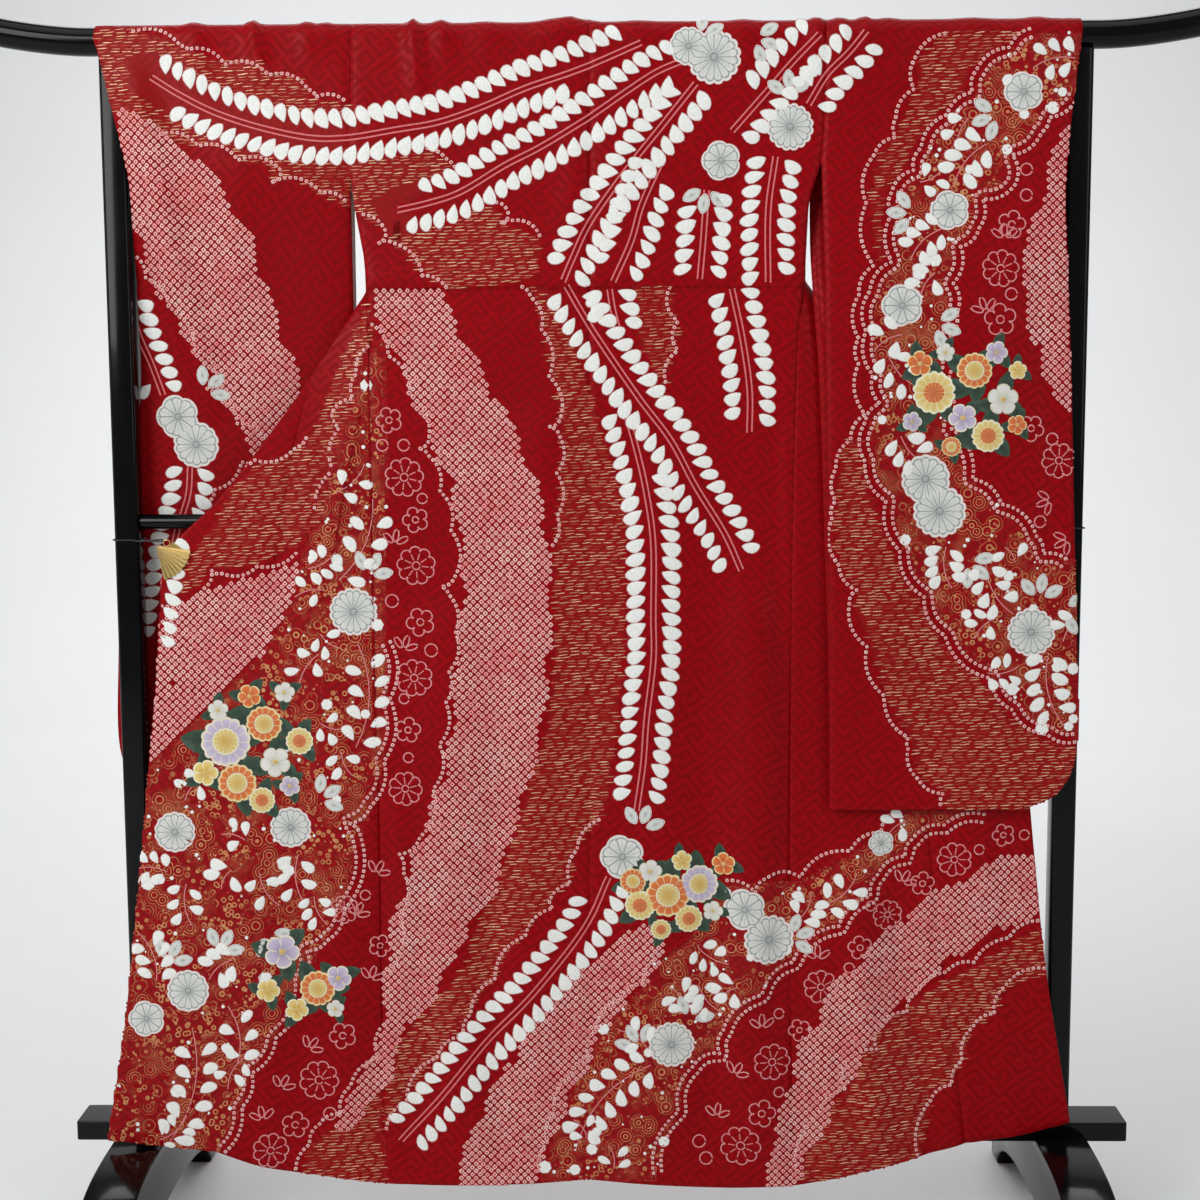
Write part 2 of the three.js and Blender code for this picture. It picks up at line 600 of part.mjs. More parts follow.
// A superellipse quarter point: share runs from the floor (0) to the crown (1).
function arch(half, top, power, share) {
  const angle = (share * Math.PI) / 2;
  return [half * Math.cos(angle) ** (2 / power), top * Math.sin(angle) ** (2 / power)];
}
const ARCH_STEPS = 14;
function footProfile() {
  const shape = new THREE.Shape();
  const notch = BAR_DEEP / 2 + SEAT;
  const notchFloor = BAR_TOP - BAR_HIGH - SEAT;
  const outer = [...Array(ARCH_STEPS).keys()].map((k) => arch(FOOT_HALF, FOOT_TOP, FOOT_POWER, k / ARCH_STEPS))
    .filter(([y]) => y > notch + 4);
  const inner = [...Array(ARCH_STEPS + 1).keys()].map((k) => arch(ARCH_HALF, ARCH_TOP, ARCH_POWER, k / ARCH_STEPS));
  const points = [
    ...outer,
    [notch, FOOT_TOP],
    [notch, notchFloor],
    [-notch, notchFloor],
    [-notch, FOOT_TOP],
    ...outer.slice().reverse().map(([y, z]) => [-y, z]),
    ...inner.map(([y, z]) => [-y, z]),
    ...inner.slice(0, -1).reverse(),
  ];
  shape.setFromPoints(points.map(([y, z]) => new THREE.Vector2(y, z)));
  return shape;
}
[-1, 1].forEach((side) => {
  const geometry = new THREE.ExtrudeGeometry(footProfile(), { depth: FOOT_W, bevelEnabled: false });
  geometry.applyMatrix4(new THREE.Matrix4().set(0, 0, 1, 0, 1, 0, 0, 0, 0, 1, 0, 0, 0, 0, 0, 1));
  const foot = add(`foot_${sideName(side)}`, geometry, LACQUER);
  foot.position.set(side * POST_X - FOOT_W / 2, 0, 0);
});

// ---- fan clips and their cords ----
// columns: side, x, y, z of the collar's end in the clamp (y is the middle of the cloth stack)
const CLIPS = [
  [-1, -600, -37.8, 1022],
  [1, 580, -24.2, 1034],
];
const OUTWARD = THREE.MathUtils.radToDeg(Math.atan2(-SLOPE.z, SLOPE.x)); // slope of the way out

function jawProfile() {
  const [room, outer] = [JAW_SLOT / 2, JAW_SLOT / 2 + JAW_T];
  const reach = -JAW_REACH;
  const points = [[reach, -outer], [2.6, -outer], [4.4, -outer + 1.8], [4.4, outer - 1.8], [2.6, outer],
    [reach, outer], [reach, room], [1.8, room], [3, room - 1.2], [3, -room + 1.2], [1.8, -room],
    [reach, -room]];
  return new THREE.Shape(points.map(([x, y]) => new THREE.Vector2(x, y)));
}
function fanShape() {
  const shape = new THREE.Shape();
  const start = -FAN_SPREAD / 2;
  shape.moveTo(-3, 0);
  for (let k = 0; k <= FAN_RIBS * 2; k += 1) {
    const angle = THREE.MathUtils.degToRad(start + (FAN_SPREAD * k) / (FAN_RIBS * 2));
    const radius = FAN_R - (k % 2 === 0 ? 1.8 : 0);
    shape.lineTo(radius * Math.cos(angle), radius * Math.sin(angle));
  }
  return shape;
}

CLIPS.forEach(([side, x, y, z]) => {
  const name = sideName(side);
  // u runs away from the cloth in the XZ plane, v along the cloth's edge, w towards the viewer (-Y)
  const out = new THREE.Vector3(side * SLOPE.x, 0, -SLOPE.z);
  const alongY = new THREE.Vector3(0, 1, 0);
  const edge = out.clone().cross(alongY);
  const frame = new THREE.Matrix4().makeBasis(out, alongY, edge).setPosition(x, y, z);

  const jaws = new THREE.ExtrudeGeometry(jawProfile(), { depth: JAW_W, bevelEnabled: false });
  jaws.translate(0, 0, -JAW_W / 2).applyMatrix4(frame);
  add(`clip_${name}`, jaws, BRASS);

  const fan = new THREE.ExtrudeGeometry(fanShape(), { depth: FAN_T, bevelEnabled: false });
  const fanY = y - JAW_SLOT / 2 - JAW_T - SEAT;
  const aim = THREE.MathUtils.degToRad(side < 0 ? -43 : 180 + 43);
  fan.rotateZ(aim).rotateX(Math.PI / 2).translate(x + side * 22, fanY, z + 3);
  add(`fan_${name}`, fan, BRASS);

  const ring = new THREE.TorusGeometry(RING_R, RING_T, 8, 16);
  const ringAt = new THREE.Vector3(x, y, z).addScaledVector(out, 4.4 + SEAT + RING_T + RING_R);
  ring.rotateX(Math.PI / 2).translate(ringAt.x, ringAt.y, ringAt.z);
  add(`ring_${name}`, ring, BRASS);

  // The cord leaves the ring, goes once round the post and comes back.
  const near = side * (POST_X - POST_W / 2);
  const far = side * (POST_X + POST_W / 2);
  const clear = CORD_D / 2 + SEAT + 1.1;
  const face = POST_W / 2 + clear;
  const level = z + 9;
  const start = ringAt.clone().addScaledVector(out, RING_R + RING_T + 3 * SEAT);
  const route = [
    [start.x, start.y, start.z + 1.4],
    [near - side * 3, -face - 3, level - 1],
    [near + side * 8, -face, level],
    [far - side * 8, -face, level],
    [far + side * (clear - 0.4), -face + 5, level],
    [far + side * clear, 0, level],
    [far + side * (clear - 0.4), face - 5, level],
    [far - side * 8, face, level],
    [near + side * 8, face, level],
    [near - side * (clear - 0.4), face - 5, level],
    [near - side * clear, 0, level - 0.5],
    [near - side * (clear + 3), -face + 6, level - 1.5],
    [start.x, start.y + 1, start.z - 1.4],
  ].map((p) => new THREE.Vector3(...p));
  add(`cord_${name}`, tube(new THREE.CatmullRomCurve3(route), CORD_D, 8, 48), BLACK);
});

export default kimono;
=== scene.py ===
"""A crimson furisode spread over a black lacquered kimono stand.

Metres, Z up, X along the rails, -Y towards the garment's outer back. The cloth's tables are in millimetres,
as in the CAD source, and MM turns them into metres. The pattern's charts are in units of the camera's view,
and spot() turns them into millimetres on the cloth.
"""

import math

import bpy
import numpy as np
from mathutils import Matrix, Vector
from mathutils.geometry import tessellate_polygon


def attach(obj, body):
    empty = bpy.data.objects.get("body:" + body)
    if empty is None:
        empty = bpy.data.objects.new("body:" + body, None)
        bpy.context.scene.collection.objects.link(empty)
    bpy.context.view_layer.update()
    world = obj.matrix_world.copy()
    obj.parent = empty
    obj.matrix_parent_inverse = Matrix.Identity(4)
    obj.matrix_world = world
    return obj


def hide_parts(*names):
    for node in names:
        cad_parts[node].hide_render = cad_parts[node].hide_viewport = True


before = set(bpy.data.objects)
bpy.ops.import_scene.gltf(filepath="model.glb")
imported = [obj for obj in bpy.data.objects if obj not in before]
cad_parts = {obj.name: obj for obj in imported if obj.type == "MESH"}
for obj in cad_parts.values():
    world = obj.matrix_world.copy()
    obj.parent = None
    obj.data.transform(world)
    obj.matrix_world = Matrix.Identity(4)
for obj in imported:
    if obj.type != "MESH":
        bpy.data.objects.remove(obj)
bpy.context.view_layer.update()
MM = 0.001
rng = np.random.default_rng(11)

# ---------------------------------------------------------------- camera
CAMERA_AT = (0.04986, -2.77685, 1.27229)
CAMERA_TURN = math.radians(-0.9455)  # about Z, towards +X
CAMERA_DOWN = math.radians(6.8053)
CAMERA_ROLL = math.radians(-0.2889)
LENS = 58.515  # mm
SENSOR = 36  # mm wide


def camera_axes():
    """Forward from the turn and the tilt, then right and up = right x forward, both turned by the roll."""
    turn, down = CAMERA_TURN, CAMERA_DOWN
    forward = np.array([
        math.sin(turn) * math.cos(down),
        math.cos(turn) * math.cos(down),
        -math.sin(down),
    ])
    right = np.array([math.cos(turn), -math.sin(turn), 0.0])
    up = np.cross(right, forward)
    c, s = math.cos(CAMERA_ROLL), math.sin(CAMERA_ROLL)
    return forward, right * c + up * s, up * c - right * s


def make_camera():
    forward, right, up = camera_axes()
    data = bpy.data.cameras.new("camera")
    data.sensor_width = SENSOR
    data.lens = LENS
    camera = bpy.data.objects.new("camera", data)
    bpy.context.scene.collection.objects.link(camera)
    matrix = np.eye(4)
    matrix[:3, 0] = right
    matrix[:3, 1] = up
    matrix[:3, 2] = -forward
    matrix[:3, 3] = CAMERA_AT
    camera.matrix_world = Matrix(matrix.tolist())
    bpy.context.scene.camera = camera


make_camera()


# ---------------------------------------------------------------- meshes
def make_object(name, points, faces, materials, face_material=None, uvs=None, tint=None):
    """One mesh object from points (n, 3) in metres and faces (m, 3 or 4); uvs are per corner, tint per
    point."""
    faces = np.asarray(faces, np.int32)
    mesh = bpy.data.meshes.new(name)
    mesh.vertices.add(len(points))
    mesh.vertices.foreach_set("co", np.asarray(points, np.float32).ravel())
    mesh.loops.add(faces.size)
    mesh.loops.foreach_set("vertex_index", faces.ravel())
    mesh.polygons.add(len(faces))
    mesh.polygons.foreach_set("loop_start", np.arange(0, faces.size, faces.shape[1], dtype=np.int32))
    for material in materials:
        mesh.materials.append(material)
    if face_material is not None:
        mesh.polygons.foreach_set("material_index", np.asarray(face_material, np.int32))
    mesh.update(calc_edges=True)
    mesh.polygons.foreach_set("use_smooth", np.full(len(faces), True))
    if uvs is not None:
        layer = mesh.uv_layers.new(name="pattern")
        layer.data.foreach_set("uv", np.asarray(uvs, np.float32).ravel())
    if tint is not None:
        attribute = mesh.attributes.new("tint", "FLOAT", "POINT")
        attribute.data.foreach_set("value", np.asarray(tint, np.float32))
    mesh.validate()
    piece = bpy.data.objects.new(name, mesh)
    bpy.context.scene.collection.objects.link(piece)
    return piece


def grid_faces(rows, columns, start=0, closed=False):
    """Quads of a grid of points stored row by row; closed joins the last column to the first."""
    across = columns if closed else columns - 1
    i, j = np.meshgrid(np.arange(rows - 1), np.arange(across), indexing="ij")
    here = start + i * columns + j
    beside = start + i * columns + (j + 1) % columns
    return np.stack([here, beside, beside + columns, here + columns], axis=-1).reshape(-1, 4)


def around(index, inset_by=0):
    """The indices round the edge of a grid, corner to corner, or of the line that lies inset_by inside it."""
    k = inset_by
    return np.concatenate([index[k, :-1], index[:-1, -1 - k], index[-1 - k, :0:-1], index[:0:-1, k]])


def tube_faces(n, sides):
    """Triangles of n rings of points, closed by fans round two more points, at the start and at the end."""
    quads = grid_faces(n, sides, closed=True)
    k = np.arange(sides)
    after = (k + 1) % sides
    end = (n - 1) * sides
    first = np.stack([np.full(sides, n * sides), after, k], axis=1)
    last = np.stack([np.full(sides, n * sides + 1), end + k, end + after], axis=1)
    return np.concatenate([quads[:, [0, 1, 2]], quads[:, [0, 2, 3]], first, last])


def faced_out(points, faces):
    """The faces, turned round if the closed surface's signed volume is below 0."""
    p = np.asarray(points, float)
    p = p - p.mean(axis=0)
    a, b, c = p[faces[:, 0]], p[faces[:, 1]], p[faces[:, 2]]
    volume = (a * np.cross(b, c)).sum()
    if faces.shape[1] == 4:
        volume += (a * np.cross(c, p[faces[:, 3]])).sum()
    return faces if volume > 0 else faces[:, ::-1]


def unit(vectors):
    return vectors / np.maximum(np.linalg.norm(vectors, axis=-1, keepdims=True), 1e-12)


# ---------------------------------------------------------------- materials
CRIMSON_LIGHT = (0.375, 0.0011, 0.0050, 1)
CRIMSON_DARK = (0.248, 0.0004, 0.0028, 1)


class Nodes:
    """A small hand for one material's nodes: each call adds a node, sets its values and links what it is
    given."""

    def __init__(self, name):
        self.material = bpy.data.materials.new(name)
        self.material.use_nodes = True
        self.tree = self.material.node_tree
        self.shader = self.tree.nodes["Principled BSDF"]

    def plug(self, socket, value):
        if isinstance(value, bpy.types.NodeSocket):
            self.tree.links.new(value, socket)
        elif value is not None:
            socket.default_value = value

    def math(self, operation, a, b=None):
        node = self.tree.nodes.new("ShaderNodeMath")
        node.operation = operation
        for socket, value in zip(node.inputs, (a, b)):
            self.plug(socket, value)
        return node.outputs[0]

    def times(self, a, b):
        return self.math("MULTIPLY", a, b)

    def plus(self, a, b):
        return self.math("ADD", a, b)

    def minus(self, a, b):
        return self.math("SUBTRACT", a, b)

    def most(self, a, b):
        return self.math("MAXIMUM", a, b)

    def size(self, a):
        return self.math("ABSOLUTE", a)

    def mix(self, share, a, b):
        node = self.tree.nodes.new("ShaderNodeMix")
        node.data_type = "RGBA"
        for socket, value in zip((node.inputs[0], node.inputs[6], node.inputs[7]), (share, a, b)):
            self.plug(socket, value)
        return node.outputs[2]

    def span(self, value, low, high, new_low=0.0, new_high=1.0, smooth=False):
        node = self.tree.nodes.new("ShaderNodeMapRange")
        node.interpolation_type = "SMOOTHSTEP" if smooth else "LINEAR"
        for socket, given in zip(node.inputs, (value, low, high, new_low, new_high)):
            self.plug(socket, given)
        return node.outputs[0]

    def split(self, vector):
        node = self.tree.nodes.new("ShaderNodeSeparateXYZ")
        self.plug(node.inputs[0], vector)
        return node.outputs

    def join(self, x, y, z=0.0):
        node = self.tree.nodes.new("ShaderNodeCombineXYZ")
        for socket, value in zip(node.inputs, (x, y, z)):
            self.plug(socket, value)
        return node.outputs[0]

    def place(self):
        return self.tree.nodes.new("ShaderNodeTexCoord").outputs["Object"]

    def uv(self):
        node = self.tree.nodes.new("ShaderNodeUVMap")
        node.uv_map = "pattern"
        return node.outputs[0]

    def tint(self):
        node = self.tree.nodes.new("ShaderNodeAttribute")
        node.attribute_name = "tint"
        return node.outputs["Fac"]

    def noise(self, vector, scale, detail=2.0):
        node = self.tree.nodes.new("ShaderNodeTexNoise")
        for name, value in (("Vector", vector), ("Scale", scale), ("Detail", detail)):
            self.plug(node.inputs[name], value)
        return node.outputs[0]

    def cells(self, vector, scale):
        node = self.tree.nodes.new("ShaderNodeTexVoronoi")
        for name, value in (("Vector", vector), ("Scale", scale)):
            self.plug(node.inputs[name], value)
        return node.outputs["Distance"]

    def bump(self, height, strength, distance, under=None):
        node = self.tree.nodes.new("ShaderNodeBump")
        given = {"Height": height, "Strength": strength, "Distance": distance, "Normal": under}
        for name, value in given.items():
            self.plug(node.inputs[name], value)
        return node.outputs[0]

    def finish(self, **values):
        for name, value in values.items():
            self.plug(self.shader.inputs[name.replace("_", " ")], value)
        return self.material


# One repeat of the woven key fret, a row of cells per string: # is raised.
FRET = (
    "#####.#.####",
    "....#.#.#...",
    "###.#.#.#.##",
    "#...#.#.#.#.",
    "#.###.#.#.##",
    "#.....#.....",
    "#######.####",
    "........#..#",
    ".######.#.#.",
    ".#....#.#.#.",
    ".#.##.#.#.##",
    ".#.#..#.#...",
)
FRET_CELL = 0.0055  # metres, along the diagonal axes of the fret


def fret(m):
    """1 on the fret's raised lines. The cloth's plane (x, z - |y|) is turned to the bias and cut in cells;
    a ramp gives each row of cells its bits as one number, and the column picks its bit from that number."""
    size = len(FRET)
    x, y, z = m.split(m.place())
    run = m.minus(z, m.size(y))
    tilt = math.radians(38)
    a = m.plus(m.times(x, math.cos(tilt)), m.times(run, math.sin(tilt)))
    b = m.minus(m.times(run, math.cos(tilt)), m.times(x, math.sin(tilt)))
    row = m.math("FLOORED_MODULO", m.math("DIVIDE", a, FRET_CELL), float(size))
    column = m.math("FLOOR", m.math("FLOORED_MODULO", m.math("DIVIDE", b, FRET_CELL), float(size)))
    ramp = m.tree.nodes.new("ShaderNodeValToRGB")
    ramp.color_ramp.interpolation = "CONSTANT"
    stops = ramp.color_ramp.elements
    for k, line in enumerate(FRET):
        bits = sum(2**j for j, mark in enumerate(line) if mark == "#") / 2**size
        stop = stops[k] if k < 2 else stops.new(k / size)
        stop.position = k / size
        stop.color = (bits, bits, bits, 1)
    m.plug(ramp.inputs[0], m.math("DIVIDE", row, float(size)))
    code = m.times(ramp.outputs[0], float(2**size))
    picked = m.math("FLOOR", m.math("DIVIDE", code, m.math("POWER", 2.0, column)))
    return m.math("FLOORED_MODULO", picked, 2.0)


def silk_ground(m):
    """Crimson satin: fret lines a shade lighter than the ground, broad uneven dye, and a crepe grain for
    the bump."""
    raised = fret(m)
    cloudy = m.noise(m.place(), 3.0, 3.0)
    colour = m.mix(m.span(raised, 0.0, 1.0, 0.1, 0.75), CRIMSON_DARK, CRIMSON_LIGHT)
    deep = tuple(c * 0.72 for c in CRIMSON_DARK[:3]) + (1,)
    colour = m.mix(m.span(cloudy, 0.35, 0.75, 0.0, 0.35), colour, deep)
    grain = m.noise(m.place(), 1500.0, 1.0)
    height = m.plus(m.times(raised, 0.35), m.times(grain, 0.65))
    gloss = m.span(raised, 0.0, 1.0, 0.52, 0.40)
    return colour, gloss, m.bump(height, 0.35, 0.0003)


def crimson_silk():
    m = Nodes("crimson_silk")
    colour, gloss, normal = silk_ground(m)
    return m.finish(Base_Color=colour, Roughness=gloss, Normal=normal, Sheen_Weight=0.01, Sheen_Roughness=0.4,
                    Specular_IOR_Level=0.09)


LINING_END = 0.66  # metres above the floor


def lining_silk():
    """White silk above, the crimson hem lining below LINING_END, with a plain fine weave."""
    m = Nodes("lining_silk")
    z = m.split(m.place())[2]
    low = m.math("LESS_THAN", z, LINING_END)
    weave = m.noise(m.place(), 900.0, 2.0)
    soft = m.noise(m.place(), 5.0, 2.0)
    white = m.mix(soft, (0.80, 0.78, 0.74, 1), (0.70, 0.68, 0.64, 1))
    red = m.mix(soft, CRIMSON_LIGHT, CRIMSON_DARK)
    return m.finish(Base_Color=m.mix(low, white, red), Roughness=0.55, Normal=m.bump(weave, 0.3, 0.0003),
                    Sheen_Weight=0.1)


def black_lacquer():
    """Deep black with a slow orange peel, faint rubbed cloudiness in the gloss, and a clear coat."""
    m = Nodes("black_lacquer")
    cloudy = m.noise(m.place(), 14.0, 4.0)
    peel = m.noise(m.place(), 160.0, 1.0)
    colour = m.mix(cloudy, (0.0015, 0.0015, 0.0018, 1), (0.003, 0.003, 0.0035, 1))
    return m.finish(Base_Color=colour, Roughness=m.span(cloudy, 0.3, 0.7, 0.10, 0.18),
                    Normal=m.bump(peel, 0.03, 0.0004), Coat_Weight=0.08, Coat_Roughness=0.04,
                    Specular_IOR_Level=0.14)


def polished_brass():
    m = Nodes("polished_brass")
    cloudy = m.noise(m.place(), 120.0, 3.0)
    fine = m.noise(m.place(), 2200.0, 1.0)
    colour = m.mix(cloudy, (0.86, 0.62, 0.24, 1), (0.70, 0.46, 0.15, 1))
    return m.finish(Base_Color=colour, Metallic=1.0, Roughness=m.span(cloudy, 0.2, 0.8, 0.22, 0.36),
                    Normal=m.bump(fine, 0.1, 0.0002))


def black_braid():
    """Two sets of strands wound opposite ways: v runs along the cord in turns, u round it."""
    m = Nodes("black_braid")
    u, v, _ = m.split(m.uv())
    one = m.math("SINE", m.times(m.plus(u, v), 6.2832 * 4))
    two = m.math("SINE", m.times(m.minus(u, v), 6.2832 * 4))
    height = m.most(one, two)
    # Painted shade: the colour follows the braid's height, near black in the grooves between the strands and
    # dark grey on their crowns.
    colour = m.mix(m.span(height, 0.0, 1.0), (0.004, 0.003, 0.003, 1), (0.030, 0.022, 0.024, 1))
    return m.finish(Base_Color=colour, Roughness=0.75, Normal=m.bump(height, 0.6, 0.0003), Sheen_Weight=0.3)


SILK = crimson_silk()
LINING_SILK = lining_silk()
LACQUER = black_lacquer()
BRASS = polished_brass()
BRAID = black_braid()

# ---------------------------------------------------------------- cloth tables
RAIL_Z = 1725.25
WRAP_R = 21.15  # the cloth's middle surface round the rail
RIDGE = math.radians(1.0)  # the near and the far half of a panel end this far from the top of the rail
NEAR, FAR = -1, 1
A, B = 0, 3  # first column of a row's A point and of its B point
CLOTH = 1.6  # thickness of a sheet with its lining
COLLAR = 3.0
LINING = 1.2
LINING_BEHIND = 1.7  # from the middle of the sleeve's sheet to the middle of the lining
ON_RAIL = ("top_rail",)
SEAM_GAP = 0.1
SEAM_IN = 1.8  # how far a seam draws the cloth in
STEP = 8.0  # size of a cloth quad
FOLD_END = 90
# A row is a section across a panel: its A point and its B point, x, y, z each. FRONT_LEFT adds the pleat's
# share of the width and its lap, OVERLAP_LEFT the width that is turned under. A collar's row is a point of
# its upper edge.
BACK_LEFT = (
    (-7.3, -22, 1700, -336, -22, 1700),
    (-8.3, -26, 1560, -338.6, -26, 1560),
    (-8.3, -28, 1500, -334, -28.5, 1500),
    (-8.3, -31, 1417, -320, -32, 1417),
    (-8.4, -33, 1389, -318, -33.6, 1389),
    (-8.4, -31.4, 1385, -318, -32, 1385),
    (-9.3, -33, 1300, -317.6, -33.4, 1300),
    (-10.3, -36, 1000, -316.6, -37, 1000),
    (-12.3, -40, 600, -315.6, -42, 600),
    (-15.3, -47, 300, -315.2, -50, 300),
    (-18.3, -56, 98, -315, -57, 92),
)
BACK_RIGHT = (
    (-6.9, -22, 1700, 318.7, -22, 1700),
    (-7.9, -26, 1560, 313.6, -26, 1560),
    (-7.9, -28, 1500, 297, -28.5, 1500),
    (-7.9, -31, 1417, 291, -32, 1417),
    (-8, -33, 1391, 289.5, -33.6, 1391),
    (-8, -31.4, 1387, 289.2, -32, 1387),
    (-8.9, -33, 1300, 282, -33.4, 1300),
    (-9.9, -36, 1000, 276, -37, 1000),
    (-11.9, -40, 600, 274.6, -42, 600),
    (-14.9, -47, 300, 277, -49, 300),
    (-17.9, -56, 98, 278.4, -56, 88),
)
FRONT_LEFT = (
    (-336.4, 21.2, 1700, -73, 21.2, 1700, 0.5, 0),
    (-337.6, 19, 1640, -120, 15.5, 1641, 0.5, 0),
    (-338.4, 10, 1536, -202, 6.3, 1535, 0.5, 0),
    (-324, -14, 1430, -284, -2.6, 1430, 0.5, 0),
    (-319.6, -27, 1381, -322, -8, 1378, 0.5, 0),
    (-319.2, -31, 1330, -357, -22, 1324, 0.6, 8),
    (-318.6, -33.8, 1237, -416, -31, 1237, 0.5, 26),
    (-318, -35.8, 1092, -530, -38, 1092, 0.4, 30),
    (-317.6, -36.8, 1022, -600, -40, 1022, 0.34, 28),
    (-317.2, -37.8, 940, -618, -41, 948, 0.39, 20),
    (-316.8, -39.6, 795, -601, -45, 805, 0.58, 0),
    (-316.6, -40.5, 700, -597, -49, 722, 0.6, 0),
    (-316.2, -43, 560, -585, -55, 593, 0.6, 0),
    (-316, -46, 440, -564, -61, 476, 0.6, 0),
    (-315.8, -50.4, 290, -536, -70, 328, 0.6, 0),
    (-315.6, -57, 92, -554, -82, 150, 0.6, 0),
)
FRONT_RIGHT = (
    (319.1, 21.2, 1700, 58, 21.2, 1700),
    (317, 19, 1640, 101, 15.5, 1641),
    (302, 8, 1536, 182, 6.3, 1535),
    (294, -12, 1430, 264, -2.6, 1430),
    (291, -27, 1381, 303, -6, 1378),
    (284.6, -32.2, 1330, 342, -14, 1324),
    (280.4, -33.8, 1237, 400, -18, 1237),
    (277.6, -35.8, 1092, 418, -23.4, 1092),
    (276.4, -37, 1000, 438, -27.6, 1000),
    (275.2, -39.6, 795, 455, -33.6, 795),
    (275, -42, 600, 474, -39, 600),
    (276, -45.4, 440, 494, -43.4, 430),
    (277.6, -49.4, 290, 513, -48.6, 290),
    (279, -56.4, 88, 530.4, -57, 154),
)
OVERLAP_LEFT = (
    (-611, -40.6, 930, -620.5, -41, 930, 92),
    (-601.8, -45, 800, -630, -45.5, 800, 90),
    (-597.4, -49, 722, -639, -50, 722, 84),
    (-585.4, -55, 593, -652, -56.5, 593, 62),
    (-564.4, -61, 476, -665, -63.5, 476, 34),
    (-536.4, -70, 328, -683, -73, 328, 10),
    (-554.4, -82, 150, -709, -85, 168, 6),
)
OVERLAP_RIGHT = (
    (400.5, -18.2, 1232, 408, -18.6, 1228),
    (418.4, -23.4, 1092, 528, -23, 1100),
    (438.4, -27.6, 1000, 584, -27, 1000),
    (455.4, -33.6, 795, 603, -31, 795),
    (474.4, -39, 600, 622, -36, 600),
    (494.4, -43.4, 430, 642, -41, 420),
    (513.4, -48.6, 290, 663, -47, 290),
    (530.8, -57, 154, 681, -54, 184),
)
COLLAR_LEFT = (
    (-7.3, 23.6, 1722),
    (-40, 23.8, 1712),
    (-73, 24, 1700),
    (-120, 18.3, 1641),
    (-202, 9.2, 1535),
    (-284, 0.4, 1430),
    (-322, -4.8, 1378),
    (-357, -15, 1324),
    (-416, -23.4, 1237),
    (-530, -30.4, 1092),
    (-566, -34.4, 1057),
    (-598, -36.8, 1019),
)
COLLAR_RIGHT = (
    (-6.9, 23.6, 1722),
    (25, 23.8, 1712),
    (58, 24, 1700),
    (101, 18.3, 1641),
    (182, 9.2, 1535),
    (264, 0.4, 1430),
    (303, -2.8, 1378),
    (342, -10.8, 1324),
    (402, -14.8, 1237),
    (524, -19.4, 1100),
    (578, -23.2, 1030),
)
SLEEVE_LEFT_BACK = (
    (-336.7, -22, 1700, -684, -21.4, 1700),
    (-337.6, -24, 1630, -668, -20.6, 1623),
    (-339.2, -26, 1560, -650.4, -20, 1540),
    (-341, -12, 1440, -649, -5, 1440),
    (-342, 0, 1340, -649, 12, 1340),
    (-342, 10, 1240, -652, 22.5, 1240),
    (-343, 17, 1120, -672, 24, 1120),
    (-344, 22, 1000, -688, 25, 1000),
    (-345, 24, 840, -699, 26, 840),
    (-346, 25, 738, -702, 26, 738),
    (-346, 25, 690, -692, 26, 690),
    (-346, 25, 662, -668, 26, 662),
    (-346, 25, 646, -626, 26, 646),
)
SLEEVE_LEFT_FRONT = (
    (-336.7, 21.2, 1700, -690, 21.6, 1700),
    (-337.9, 19, 1640, -688, 23, 1640),
    (-338.8, 10, 1536, -688, 25, 1536),
    (-340, 16, 1430, -688, 27, 1430),
    (-341, 22, 1300, -688, 28, 1300),
    (-342, 25, 1150, -690, 28.6, 1150),
    (-344, 27, 1000, -694, 29, 1000),
    (-345, 28, 840, -699, 30, 840),
    (-346, 29, 738, -702, 30, 738),
    (-346, 29, 690, -692, 30, 690),
    (-346, 29, 662, -668, 30, 662),
    (-346, 29, 646, -626, 30, 646),
)
SLEEVE_RIGHT_BACK = (
    (319.2, -22, 1700, 666, -22, 1700),
    (314.2, -26, 1560, 650, -30, 1530),
    (318, -38, 1420, 652, -40, 1420),
    (321, -44, 1250, 660, -46, 1250),
    (325, -48, 1000, 670, -50, 1000),
    (328, -52, 850, 676, -53, 850),
    (329, -53.5, 748, 678, -55, 748),
    (329.6, -54, 695, 668, -56, 695),
    (330, -54.4, 664, 644, -56, 664),
    (330, -54.8, 646, 600, -56, 646),
)
SLEEVE_RIGHT_FRONT = (
    (319.6, 21.2, 1700, 664, 21.2, 1700),
    (317.5, 19, 1640, 652, 20.4, 1640),
    (302.6, 8, 1536, 648, 4, 1545),
    (300, -16, 1440, 647, -18, 1470),
    (303, -34.6, 1370, 649, -34, 1400),
    (312, -40, 1250, 658, -42, 1250),
    (322, -44, 1000, 668, -46, 1000),
    (327, -48, 850, 675, -49, 850),
    (329, -49.5, 748, 677, -51, 748),
    (329.6, -50, 695, 667, -52, 695),
    (330, -50.4, 664, 643, -52, 664),
    (330, -50.8, 646, 599, -52, 646),
)


